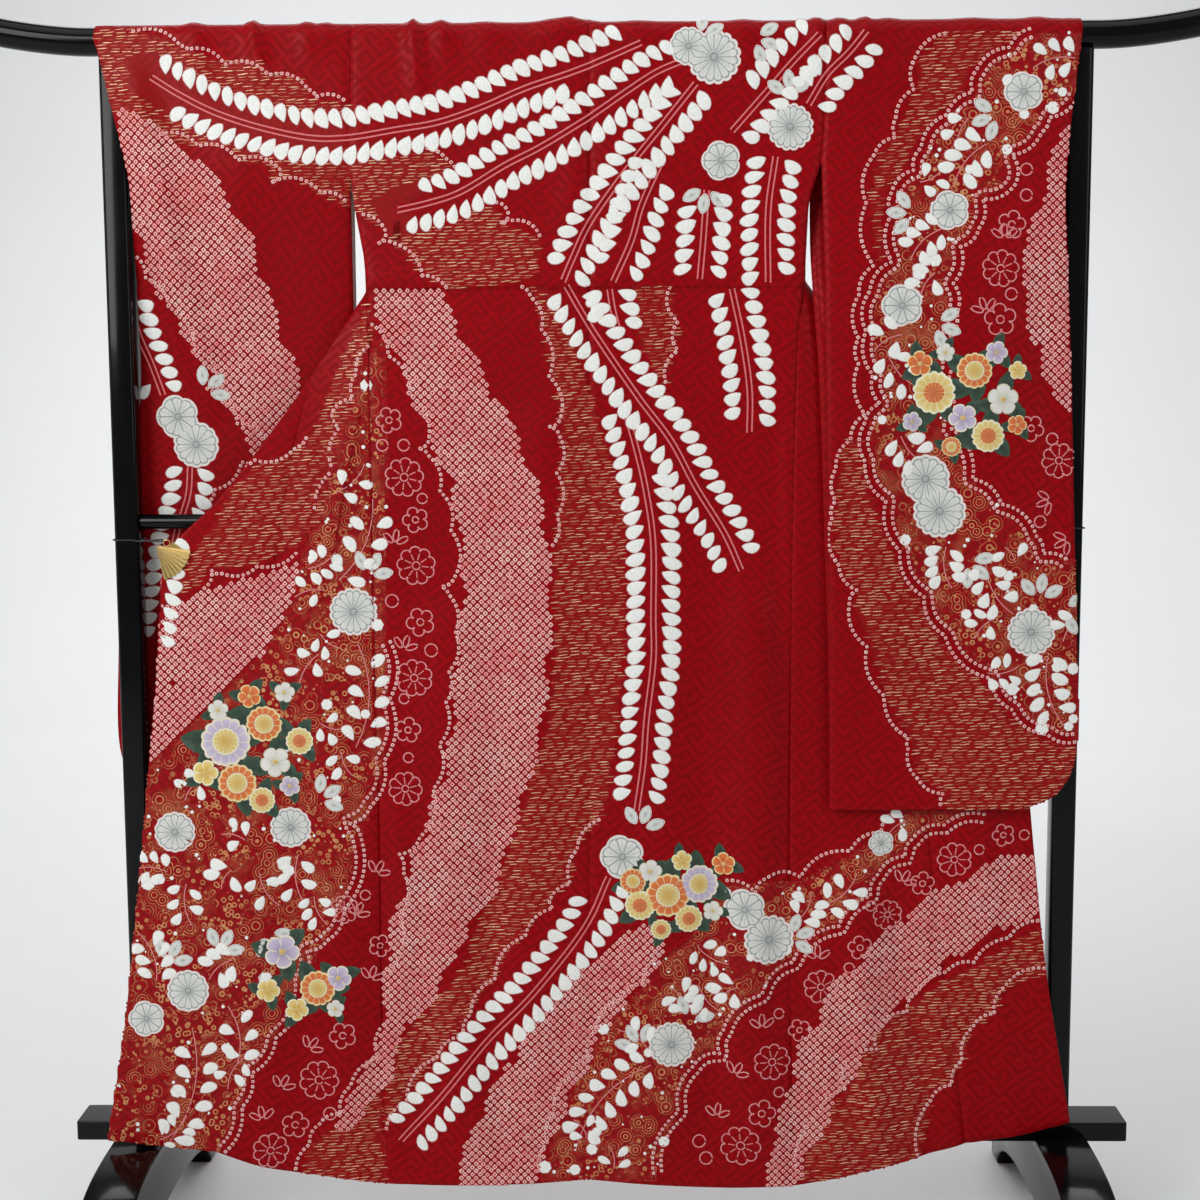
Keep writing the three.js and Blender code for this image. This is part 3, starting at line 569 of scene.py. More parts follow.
# ---------------------------------------------------------------- cloth shapes
def smooth_rows(rows):
    """Cubic (Hermite) curves through the rows of a table, a section every STEP along them. The knots are
    the mean distances of the A and B points, and a row's slope is the slope between its two neighbours."""
    rows = np.array(rows, float)
    moved = np.diff(rows, axis=0)
    gaps = (np.linalg.norm(moved[:, :3], axis=1) + np.linalg.norm(moved[:, 3:6], axis=1)) / 2
    knots = np.concatenate([[0.0], np.cumsum(gaps)])
    slope = np.empty_like(rows)
    slope[1:-1] = (rows[2:] - rows[:-2]) / (knots[2:] - knots[:-2])[:, None]
    slope[0] = moved[0] / gaps[0]
    slope[-1] = moved[-1] / gaps[-1]
    at = np.linspace(0, knots[-1], math.ceil(knots[-1] / STEP) + 1)
    k = np.clip(np.searchsorted(knots, at, side="right") - 1, 0, len(rows) - 2)
    h = (knots[k + 1] - knots[k])[:, None]
    t = (at - knots[k])[:, None] / h
    a, b, p, q = rows[k], rows[k + 1], slope[k] * h, slope[k + 1] * h
    return a + t * (p + t * (3 * (b - a) - 2 * p - q + t * (2 * (a - b) + p + q)))


def over_rail(ax, bx, side, extra=()):
    """Rows of a quarter turn over the rail: y = side R sin(angle), z = RAIL_Z + R cos(angle)."""
    angles = np.linspace(RIDGE, math.pi / 2, 9)
    y = side * WRAP_R * np.sin(angles)
    z = RAIL_Z + WRAP_R * np.cos(angles)
    return [(ax, v, w, bx, v, w, *extra) for v, w in zip(y, z)]


def hung(rows, ax, bx, side, extra=()):
    """Sections of a panel: the exact turn over the rail, then the smooth rows below it."""
    turn = np.array(over_rail(ax, bx, side, extra))
    below = smooth_rows([turn[-2], turn[-1], *rows])
    first = np.searchsorted(-below[:, 2], -turn[-1, 2] + 2.0)
    return np.concatenate([turn, below[first:]])


def sewn_to(sections, neighbour, end, gap, top=1e9, bottom=-1e9):
    """Between two heights the A edge takes x + gap and y of the neighbour's edge at its own height."""
    sections = sections.copy()
    held = (sections[:, 2] <= top) & (sections[:, 2] >= bottom)
    height = -neighbour[:, end + 2]
    sections[held, 0] = np.interp(-sections[held, 2], height, neighbour[:, end]) + gap
    sections[held, 1] = np.interp(-sections[held, 2], height, neighbour[:, end + 1])
    return sections


def straight(sections, count=None):
    """Points A + (B - A) u, with u evenly spaced."""
    a, b = sections[:, None, :3], sections[:, None, 3:6]
    if count is None:
        width = np.linalg.norm(b - a, axis=2).max()
        count = max(4, math.ceil(width / STEP) + 1)
    u = np.linspace(0, 1, count)[None, :, None]
    return a + (b - a) * u


def smooth_step(t):
    t = np.clip(t, 0, 1)
    return t * t * (3 - 2 * t)


def folded(grid, folds, strength=1.6):
    """Soft ridges and troughs along Y: height exp(-(d / half width)^2), where d is the distance from a line
    that runs from one share of the width to another; it dies away over FOLD_END at each end."""
    width = np.linalg.norm(grid[:, -1] - grid[:, 0], axis=1)[:, None]
    u = np.linalg.norm(grid - grid[:, :1], axis=2) / np.maximum(width, 1e-6)
    z = grid[..., 2]
    lift = np.zeros_like(z)
    for u_top, u_bottom, z_top, z_bottom, high, half in folds:
        run = (z_top - z) / (z_top - z_bottom)
        bend = 0.03 * np.sin(run * 7 + high)
        d = (u - u_top - (u_bottom - u_top) * run - bend) * width / half
        ends = smooth_step((z_top - z) / FOLD_END) * smooth_step((z - z_bottom) / FOLD_END)
        lift += strength * high * ends * np.exp(-d * d)
    grid = grid.copy()
    grid[..., 1] -= lift
    return grid


# Pinches over the crest: x, height, half width at the crest, half width below, how far down, drift in x
CRESTS = (
    (-556, 3.5, 9, 26, 150, 20),
    (-474, 6.0, 6, 16, 120, 18),
    (-398, 3.6, 7, 15, 90, 8),
    (-372, 2.4, 6, 12, 80, 2),
    (-251, 6.5, 5, 12, 150, 10),
    (-213, 4.6, 7, 16, 90, 12),
    (-150, 1.6, 16, 22, 90, 4),
    (-48, 5.5, 22, 40, 60, -6),
    (-30, 4.0, 9, 16, 34, -4),
    (-8, 2.6, 9, 14, 60, 3),
    (60, 1.6, 20, 26, 120, 10),
    (205, 2.0, 12, 30, 200, 16),
    (306, 4.4, 6, 14, 90, 6),
    (338, 3.4, 8, 16, 110, 8),
    (372, 4.6, 7, 15, 100, 12),
    (404, 2.4, 12, 24, 140, 14),
    (520, 1.8, 20, 34, 160, 20),
    (610, 2.4, 14, 28, 200, -14),
)


def crested(grid):
    """Adds the pinches along the outward direction of the turn: h exp(-(dx / w)^2), with w growing and h, 1.8
    times as high from 30 below the crest, dying away with the distance s."""
    x, y, z = grid[..., 0], grid[..., 1], grid[..., 2]
    angle = np.arctan2(np.abs(y), np.maximum(z - RAIL_Z, 0.0))
    s = np.where(z > RAIL_Z, WRAP_R * angle, WRAP_R * math.pi / 2 + RAIL_Z - z)
    lift = np.zeros_like(x)
    for at, high, tight, wide, down, drift in CRESTS:
        far = np.clip(s / down, 0, 1)
        w = tight + (wide - tight) * np.sqrt(far)
        lift += high * (1 + 0.8 * smooth_step(s / 30)) * (1 - smooth_step(far)) * np.exp(
            -(((x - at - drift * far) / w) ** 2))
    side = np.sign(y)
    grid = grid.copy()
    grid[..., 1] += side * lift * np.clip(np.sin(np.minimum(angle, math.pi / 2)) + 0.02, 0, 1)
    grid[..., 2] += lift * np.clip(np.cos(angle), 0, 1) * (z > RAIL_Z)
    return grid


def rippled(grid, strength=1.0):
    """Slow uneven waves of hanging silk, stronger towards the hem: sums of sines of x and z."""
    x, z = grid[..., 0], grid[..., 2]
    low = np.clip((1600 - z) / 1500, 0, 1)
    wave = 0.9 * np.sin(x / 47 + z / 260 + 0.6) + 0.7 * np.sin(x / 23 - z / 410 + 2.1)
    wave += 0.5 * np.sin(z / 61 + x / 190)
    grid = grid.copy()
    grid[..., 1] += strength * wave * (0.25 + low)
    return grid


def pulled_in(grid, left=True, right=True):
    """A seam draws the cloth in: by a sewn edge y moves towards the inside by SEAM_IN exp(-(d / 6)^2)."""
    grid = grid.copy()
    d = np.linalg.norm(grid - grid[:, :1], axis=2)
    e = np.linalg.norm(grid - grid[:, -1:], axis=2)
    toward = np.where(grid[..., 1] > 5, -1, 1)
    grid[..., 1] += toward * SEAM_IN * (left * np.exp(-((d / 6) ** 2)) + right * np.exp(-((e / 6) ** 2)))
    return grid


def normals_of(grid):
    along = np.gradient(grid, axis=0)
    across = np.gradient(grid, axis=1)
    return unit(np.cross(along, across))


class Cloth:
    """A sheet: its middle surface as a grid (rows down, columns across) and its outward normals."""

    all = []

    def __init__(self, name, grid, thickness, out_y, rests_on, flat, area, held="draped", lining=True):
        self.name, self.grid, self.thickness = name, grid, thickness
        normal = normals_of(grid)
        row = normal[-6:, :, 1].mean()
        self.normal = normal * (1 if row * out_y > 0 else -1)
        self.facts = (rests_on, flat, area, held)
        self.lining = lining
        Cloth.all.append(self)

    def outer(self):
        return self.grid + self.normal * self.thickness / 2

    def make(self):
        """Outer and inner layer half the thickness off the middle, joined by a rim bowed out by a third of
        it."""
        n, m = self.grid.shape[:2]
        outer = self.outer().reshape(-1, 3)
        inner = (self.grid - self.normal * self.thickness / 2).reshape(-1, 3)
        index = np.arange(n * m).reshape(n, m)
        loop = around(index)
        inward = around(index, 1)
        flat = self.grid.reshape(-1, 3)
        rim = flat[loop] + unit(flat[loop] - flat[inward]) * self.thickness * 0.33
        points = np.concatenate([outer, inner, rim]) * MM
        sheet = grid_faces(n, m)
        k = np.arange(len(loop))
        after = (k + 1) % len(loop)
        base = 2 * n * m
        up = np.stack([loop[k], loop[after], base + after, base + k], axis=1)
        down = np.stack([base + k, base + after, n * m + loop[after], n * m + loop[k]], axis=1)
        faces = np.concatenate([sheet, sheet[:, ::-1] + n * m, up[:, ::-1], down[:, ::-1]])
        turned = faced_out(points, faces)
        which = np.zeros(len(faces), int)
        if self.lining:
            which[len(sheet):2 * len(sheet)] = 1
        piece = make_object(self.name, points, turned, [SILK, LINING_SILK], which)
        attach(piece, "root")
        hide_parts(self.name)
        return piece


back_left = hung(BACK_LEFT, -7.3, -336, NEAR)
back_right = hung(BACK_RIGHT, -6.9, 318.7, NEAR)
front_left = sewn_to(hung(FRONT_LEFT, -336.4, -68, FAR, (0.5, 0)), back_left, B, -SEAM_GAP, 1340)
front_right = sewn_to(hung(FRONT_RIGHT, 319.1, 52, FAR), back_right, B, SEAM_GAP, 1340)


def pleated(sections):
    """An S-shaped pleat: d is the distance from the A edge and t its distance from the pleat's line in
    pleat sizes; x slides back by 1.65 lap t exp(-t^2 / 2), and y steps by 3.5 tanh(1.6 t) exp(-(t /
    3.2)^2)."""
    ax, ay, az, bx, by, bz, share, lap = (sections[:, k:k + 1] for k in range(8))
    width = np.sqrt((bx - ax) ** 2 + (by - ay) ** 2 + (bz - az) ** 2)
    centre = share * width
    size = np.minimum(14, np.minimum(centre, width - centre) / 3.3)
    before = np.linspace(0, 1, 16)[None, :-1] * (centre - 3 * size)
    over = centre + size * np.linspace(-3, 3, 25)[None, :]
    after = centre + 3 * size + np.linspace(0, 1, 24)[None, 1:] * (width - centre - 3 * size)
    d = np.concatenate([before, over, after], axis=1)
    u, t = d / width, (d - centre) / size
    slide = -1.65 * np.maximum(lap, 0) * t * np.exp(-t * t / 2)
    depth = np.maximum(lap, 0) / 30 * 3.5 * np.tanh(1.6 * t) * np.exp(-((t / 3.2) ** 2))
    x = ax + (bx - ax) * u - slide * np.sign(bx - ax)
    return np.stack([x, ay + (by - ay) * u + depth, az + (bz - az) * u], axis=2)


def turned_under(sections, seam):
    """The free edge is folded back behind: a flat part, a half turn of radius 2.4, and a flat part as wide
    as the row says, which follows the slope of the front panel."""
    radius = 2.4
    ax, ay, az, bx, by, bz, under = (sections[:, k:k + 1] for k in range(7))
    u = np.linspace(0, 1, 13)[None, :-1]
    flat = (ax + (bx + radius - ax) * u, ay + (by - ay) * u, az + (bz - az) * u)
    angle = np.linspace(0, math.pi, 9)[None, :]
    turn = (bx + radius - radius * np.sin(angle), by + radius * (1 - np.cos(angle)), bz + 0 * angle)
    x = bx + radius + under * np.linspace(0, 1, 12)[None, 1:]
    seam_x = np.interp(-bz[:, 0], -seam[:, 2], seam[:, 0])[:, None]
    seam_y = np.interp(-bz[:, 0], -seam[:, 2], seam[:, 1])[:, None]
    slope = (seam_y - ay) / (seam_x - ax)
    back = (x, by + 2 * radius + slope * np.maximum(0, x - ax), bz + 0 * x)
    parts = [np.concatenate([p, q, r], axis=1) for p, q, r in zip(flat, turn, back)]
    return np.stack(parts, axis=2)


COLLAR_WIDTH = 58
SLOPE_X, SLOPE_Z = 0.79, -0.613  # direction of the front's edge, down and out


def collar_rows(edge, side):
    """A strip beside the front edge, level round the neck and square to the edge below it."""
    rows = []
    for k, (x, y, z) in enumerate(edge):
        turn = min(1.0, k / 3)
        down = COLLAR_WIDTH * math.hypot(SLOPE_Z, (1 - turn) * SLOPE_X)
        rows.append((x, y, z, x - side * COLLAR_WIDTH * SLOPE_X * turn, y, z - down))
    return smooth_rows(rows)


def sleeve(rows, ax, bx, side, body, gap):
    end = B if side == NEAR else A
    return sewn_to(hung(rows, ax, bx, side), body, end, gap, RAIL_Z - 1, 1552)


# Soft folds of each panel: share across at the top and at the bottom, top z, bottom z, height, half width
FOLDS = {
    "back_left": (
        (0.22, 0.3, 1250, 120, 3, 40),
        (0.68, 0.62, 980, 110, 4, 44),
        (0.9, 0.94, 700, 60, 2.6, 16),
        (0.45, 0.43, 760, 90, -2.2, 26),
        (0.1, 0.06, 1680, 1420, 1.6, 20),
    ),
    "back_right": (
        (0.34, 0.28, 1180, 120, 3, 46),
        (0.78, 0.86, 1000, 100, 6, 36),
        (0.56, 0.62, 860, 120, -2.6, 22),
        (0.93, 0.97, 1250, 300, -2.4, 14),
        (0.12, 0.2, 1640, 1410, 1.8, 26),
        (0.66, 0.6, 1600, 1400, -2, 22),
    ),
    "front_left": (
        (0.25, 0.2, 900, 120, 2, 34),
        (0.78, 0.7, 640, 60, 3.2, 36),
    ),
    "front_right": (
        (0.42, 0.5, 640, 100, 7, 32),
        (0.75, 0.8, 560, 60, -3, 20),
        (0.2, 0.25, 520, 60, 2.4, 18),
    ),
    "overlap_right": (
        (0.5, 0.45, 760, 90, 2.5, 26),
    ),
    "sleeve_left_back": (
        (0.93, 0.7, 1720, 1180, 11, 20),
        (0.55, 0.5, 1650, 1300, 2.6, 30),
        (0.15, 0.2, 1500, 800, 2, 30),
        (0.8, 0.86, 1240, 700, -3, 26),
    ),
    "sleeve_right_back": (
        (0.62, 0.7, 1420, 720, 4, 44),
        (0.22, 0.16, 1500, 800, 3, 40),
        (0.42, 0.44, 1300, 660, -2, 24),
        (0.88, 0.92, 1500, 900, -2.4, 18),
        (0.05, 0.06, 1320, 700, 1.6, 14),
    ),
    "sleeve_left_front": (
        (0.7, 0.6, 1500, 760, -3, 40),
        (0.3, 0.24, 1400, 700, -3, 34),
    ),
    "sleeve_right_front": (
        (0.6, 0.7, 1300, 760, -1.2, 40),
        (0.25, 0.3, 1400, 700, -1.2, 34),
    ),
}


# How far the hem of each panel bows down in its middle
HEM_BOW = {"back_left": 6, "back_right": 6, "front_left": 9, "front_right": 6, "overlap_right": 3}
WAIST = 1383
TUCK_OUT, TUCK_CREASE = 2.2, 0.8
HEM_RISE = 160  # height over which the hem's bow dies away


def bowed(grid, bow):
    """The hem's rows sink by 4 bow u (1 - u), which dies away over HEM_RISE above them."""
    u = np.linspace(0, 1, grid.shape[1])[None, :]
    grid = grid.copy()
    low = smooth_step((grid[..., 2].min() + HEM_RISE - grid[..., 2]) / HEM_RISE)
    grid[..., 2] -= bow * 4 * u * (1 - u) * low
    return grid


def with_rows(sections, heights):
    """Sections added at given heights of A, by straight interpolation."""
    down = -sections[:, 2]
    extra = np.stack([np.interp([-h for h in heights], down, column) for column in sections.T], axis=1)
    every = np.concatenate([sections, extra])
    return every[np.argsort(-every[:, 2], kind="stable")]


def tucked(grid):
    """The waist tuck: the cloth above WAIST stands proud of the cloth below and comes back with
    exp(-height / 40); the cloth just under its edge is sunk in a small crease."""
    z = grid[..., 2]
    grid = grid.copy()
    above = smooth_step((z - WAIST + 1) / 2) * np.exp(-np.clip(z - WAIST, 0, None) / 40)
    below = (z < WAIST) * np.exp(-np.abs(z - WAIST) / 5)
    grid[..., 1] += TUCK_CREASE * below - TUCK_OUT * above
    return grid


def panel(name, sections, out_y, flat, area=None, sewn=(True, True), wave=0.5, rests_on=ON_RAIL, **more):
    if name.startswith("back"):
        sections = with_rows(sections, [WAIST + d for d in (-7, -3, -1.2, 0, 1.2, 3, 7)])
    grid = folded(straight(sections), FOLDS.get(name, ()), 0.9 if name.startswith("sleeve") else 1.6)
    if name.startswith("back"):
        grid = tucked(grid)
    grid = bowed(grid, HEM_BOW.get(name, 0))
    grid = pulled_in(rippled(crested(grid), wave), *sewn)
    return Cloth(name, grid, CLOTH, out_y, rests_on, flat, area, **more)


def make_cloth():
    """Every sheet of the robe. The flat sizes are the cut's, a panel's width by its length, shown part
    only."""
    panel("back_left", back_left, NEAR, (0.34, 1.66))
    panel("back_right", back_right, NEAR, (0.33, 1.66))
    grid = bowed(rippled(folded(pleated(front_left), FOLDS["front_left"]), 0.4), HEM_BOW["front_left"])
    Cloth("front_left", crested(grid), CLOTH, NEAR, ON_RAIL, (0.34, 1.66), 0.40)
    panel("front_right", front_right, NEAR, (0.26, 1.66), 0.33)
    lapped = sewn_to(smooth_rows(OVERLAP_LEFT), front_left, B, -SEAM_GAP - 0.3)
    Cloth("overlap_left", turned_under(lapped, front_left), CLOTH, NEAR, ("front_left",), (0.17, 0.80), 0.125,
          held="hung")
    right = sewn_to(smooth_rows(OVERLAP_RIGHT), front_right, B, SEAM_GAP)
    panel("overlap_right", right, NEAR, (0.17, 1.10), 0.15, sewn=(True, False), rests_on=("front_right",),
          held="hung")
    for name, edge, side in (("collar_left", COLLAR_LEFT, -1), ("collar_right", COLLAR_RIGHT, 1)):
        strip = straight(collar_rows(edge, side), 9)
        Cloth(name, strip, COLLAR, FAR, ON_RAIL, (0.058, 0.97), None, lining=False)
    half = sleeve(SLEEVE_LEFT_BACK, -336.7, -692, NEAR, back_left, -SEAM_GAP)
    panel("sleeve_left_back", half, NEAR, (0.35, 1.12))
    half = sleeve(SLEEVE_LEFT_FRONT, -336.9, -692, FAR, front_left, -SEAM_GAP)
    panel("sleeve_left_front", half, FAR, (0.35, 1.12))
    half = sleeve(SLEEVE_RIGHT_BACK, 319.2, 670, NEAR, back_right, SEAM_GAP)
    panel("sleeve_right_back", half, NEAR, (0.34, 1.12))
    half = sleeve(SLEEVE_RIGHT_FRONT, 319.6, 670, FAR, front_right, SEAM_GAP)
    front = panel("sleeve_right_front", half, FAR, (0.34, 1.12), wave=0.3, lining=False)
    shown = (half[:, 2] < 1545) & (half[:, 2] > 690)
    lined = front.grid[shown][:, 1:-1] - front.normal[shown][:, 1:-1] * LINING_BEHIND
    across = np.linspace(1, 0, lined.shape[1])[None, :]
    lined[..., 0] += 16 * smooth_step((1330 - lined[..., 2]) / 50) * across
    Cloth("sleeve_right_lining", lined, LINING, NEAR, ("sleeve_right_front",), (0.33, 0.86), None,
          held="hung")
    for sheet in Cloth.all:
        sheet.make()


make_cloth()


# ---------------------------------------------------------------- charts of the pattern, in view units
# resist-dot bands: x, y, half width along the middle line
RESIST_BAND_CHART = (
    ((402, 292, 34), (435, 360, 36), (465, 420, 39), (490, 470, 41), (503, 530, 43), (507, 600, 44), (503,
     670, 47), (495, 740, 44), (477, 810, 42), (456, 870, 44), (430, 930, 36), (408, 990, 26), (386, 1050,
     6)),
    ((657, 930, 16), (625, 965, 26), (590, 1000, 30), (562, 1045, 33), (537, 1085, 36), (515, 1130, 38),
     (492, 1180, 38)),
    ((1038, 880, 32), (985, 900, 34), (940, 930, 32), (897, 965, 34), (860, 1005, 32), (830, 1050, 30),
     (808, 1100, 24), (790, 1150, 20), (782, 1182, 14)),
    ((122, 110, 8), (136, 140, 22), (160, 175, 40), (185, 215, 50), (206, 268, 55), (226, 312, 48), (243,
     350, 44), (258, 388, 40), (276, 430, 34)),
    ((392, 1040, 6), (378, 1075, 14), (362, 1098, 14), (344, 1122, 6)),
)
# resist-dot areas, corner by corner
RESIST_AREA_CHART = (
    ((155, 625), (188, 598), (220, 586), (252, 578), (300, 563), (291, 604), (270, 640), (262, 655), (226,
     684), (203, 710), (190, 727), (173, 745), (149, 766), (150, 690)),
    ((1085, 95), (1062, 136), (1051, 157), (1052, 186), (1044, 204), (1033, 221), (1023, 264), (1026, 296),
     (1030, 336), (1044, 350), (1040, 375), (1059, 404), (1076, 428), (1085, 430)),
)
# areas of foil dashes, corner by corner
FOIL_CHART = (
    ((93, 26), (130, 30), (175, 43), (189, 49), (221, 61), (258, 58), (272, 71), (303, 80), (309, 97),
     (352, 104), (352, 210), (320, 196), (298, 178), (274, 186), (272, 168), (240, 162), (226, 146), (197,
     146), (159, 138), (128, 120), (108, 108)),
    ((352, 163), (428, 149), (456, 171), (420, 195), (395, 205), (400, 235), (393, 243), (388, 234), (359,
     213), (352, 208)),
    ((395, 205), (440, 228), (493, 203), (505, 224), (541, 240), (538, 270), (520, 283), (450, 290), (422,
     274), (393, 243)),
    ((530, 286), (545, 286), (560, 300), (575, 340), (592, 400), (612, 450), (625, 520), (625, 640), (618,
     720), (608, 800), (603, 818), (577, 848), (570, 885), (548, 903), (523, 935), (494, 976), (468, 1016),
     (436, 1056), (406, 1098), (386, 1132), (386, 1062), (405, 1032), (430, 1008), (466, 964), (485, 907),
     (505, 867), (524, 802), (547, 722), (556, 660), (554, 560), (559, 517), (559, 474), (561, 436), (561,
     419), (552, 378), (543, 330)),
    ((632, 286), (671, 286), (679, 333), (668, 384), (655, 375), (640, 345)),
    ((950, 28), (1030, 28), (1003, 45), (972, 68), (967, 89), (940, 111), (915, 146), (908, 168), (886,
     193), (883, 214), (884, 260), (877, 262), (870, 204), (880, 155), (900, 128), (920, 88), (921, 58)),
    ((848, 437), (838, 468), (832, 520), (840, 565), (856, 590), (852, 605), (869, 647), (886, 694), (906,
     735), (910, 748), (920, 777), (943, 790), (944, 812), (1025, 812), (1050, 800), (1072, 770), (1078,
     748), (1045, 740), (1006, 714), (986, 684), (941, 642), (919, 604), (896, 558), (880, 510), (862, 468),
     (860, 440)),
    ((215, 522), (236, 488), (268, 458), (300, 452), (322, 425), (338, 372), (366, 300), (374, 330), (362,
     360), (352, 400), (345, 440), (335, 480), (320, 520), (300, 545), (258, 562), (222, 570), (213, 563),
     (203, 583), (163, 600), (168, 575), (190, 560)),
    ((1046, 925), (1010, 945), (973, 967), (945, 980), (917, 1000), (881, 1027), (849, 1063), (845, 1090),
     (821, 1115), (809, 1130), (799, 1182), (860, 1182), (921, 1165), (929, 1105), (961, 1065), (973, 1030),
     (994, 1018), (1006, 990), (1050, 974)),
    ((384, 1088), (386, 1185), (330, 1182), (300, 1172), (310, 1142), (330, 1127), (355, 1110)),
)
# scalloped lines: cusps, bulge as a share of the chord, number of lines
CLOUD_CHART = (
    (((132, 32), (180, 47), (189, 51), (225, 63), (269, 74), (308, 90), (316, 97), (349, 106)), -0.18, 1),
    (((159, 137), (197, 145), (240, 161), (283, 172), (274, 183), (323, 196), (349, 206)), -0.18, 1),
    (((359, 213), (388, 234), (380, 243), (392, 245), (422, 274), (449, 290)), -0.16, 1),
    (((426, 146), (445, 160), (458, 172)), -0.1, 1),
    (((493, 204), (508, 214), (501, 224), (512, 222), (541, 240)), -0.2, 1),
    (((132, 253), (148, 278), (168, 307), (194, 348), (217, 378), (206, 390), (213, 397), (235, 422), (262,
     440)), -0.18, 1),
    (((371, 323), (389, 356), (410, 395), (428, 440), (419, 447), (429, 455), (440, 490), (452, 530), (457,
     575), (442, 585), (450, 594), (455, 632), (451, 672), (448, 700), (441, 742), (432, 790), (421, 836),
     (400, 855), (405, 870), (400, 915), (389, 973)), -0.16, 1),
    (((518, 286), (529, 297), (541, 330), (550, 378), (559, 419), (548, 427), (559, 436), (558, 474), (558,
     517), (551, 547)), -0.16, 1),
    (((603, 820), (577, 849), (572, 885), (550, 900), (553, 908), (525, 937), (496, 978), (470, 1015),
     (463, 1033), (438, 1057), (408, 1100), (386, 1135)), 0.16, 1),
    (((388, 640), (390, 700), (385, 761), (372, 806), (352, 822), (362, 835), (346, 908), (329, 938), (309,
     948), (305, 975), (277, 1033), (255, 1068), (246, 1100), (225, 1146)), -0.14, 2),
    (((160, 604), (205, 588), (213, 568), (222, 574), (258, 566), (300, 547)), 0.16, 1),
    (((196, 505), (214, 490), (240, 462), (262, 458), (300, 448), (312, 430)), 0.16, 1),
    (((371, 345), (357, 372), (352, 400), (336, 412), (345, 425), (338, 470), (318, 520)), 0.16, 1),
    (((950, 30), (917, 57), (916, 86), (896, 118), (896, 134), (875, 154), (866, 204), (875, 266), (860,
     293), (857, 339), (857, 364), (864, 414), (850, 440), (836, 468), (837, 500), (830, 520), (838, 565),
     (856, 590), (849, 605), (867, 647), (884, 694), (907, 735), (907, 746), (918, 779), (941, 790), (942,
     810)), 0.15, 1),
    (((1037, 25), (1012, 45), (980, 68), (975, 89), (948, 111), (923, 146), (917, 168), (894, 193), (891,
     214), (893, 262), (869, 290), (865, 330), (871, 375), (880, 405), (866, 421), (866, 461), (884, 500),
     (900, 551), (923, 596), (945, 634), (990, 676), (1010, 708), (1045, 734), (1078, 741)), 0.15, 2),
    (((1082, 93), (1051, 114), (1044, 132), (1016, 154), (1018, 184), (985, 200), (980, 229), (962, 246),
     (953, 282), (957, 314), (946, 343), (946, 386), (952, 430), (973, 479), (999, 502), (1034, 536), (1043,
     554), (1070, 563)), -0.15, 2),
    (((897, 813), (881, 833), (849, 849), (801, 877), (765, 877), (755, 890), (724, 881)), 0.16, 1),
    (((985, 815), (945, 825), (913, 841), (905, 857), (877, 873), (870, 895), (837, 926), (793, 962), (761,
     994), (724, 1030), (720, 1054), (692, 1066), (680, 1110), (656, 1177)), 0.15, 2),
    (((655, 960), (642, 982), (620, 999), (597, 1031), (588, 1060), (571, 1075), (555, 1112), (548, 1142),
     (542, 1176)), 0.15, 1),
    (((1042, 920), (1010, 940), (973, 962), (945, 974), (917, 994), (908, 1014), (881, 1022), (877, 1046),
     (849, 1058), (845, 1086), (821, 1110), (809, 1126), (799, 1178)), 0.15, 1),
    (((1046, 970), (1006, 986), (994, 1014), (973, 1026), (961, 1062), (950, 1085), (929, 1102), (921,
     1162)), 0.15, 1),
    (((671, 286), (679, 320), (677, 350), (668, 386)), 0.2, 1),
    (((381, 1028), (379, 1057), (353, 1083), (343, 1112), (320, 1120), (310, 1140), (298, 1170)), 0.15, 1),
)
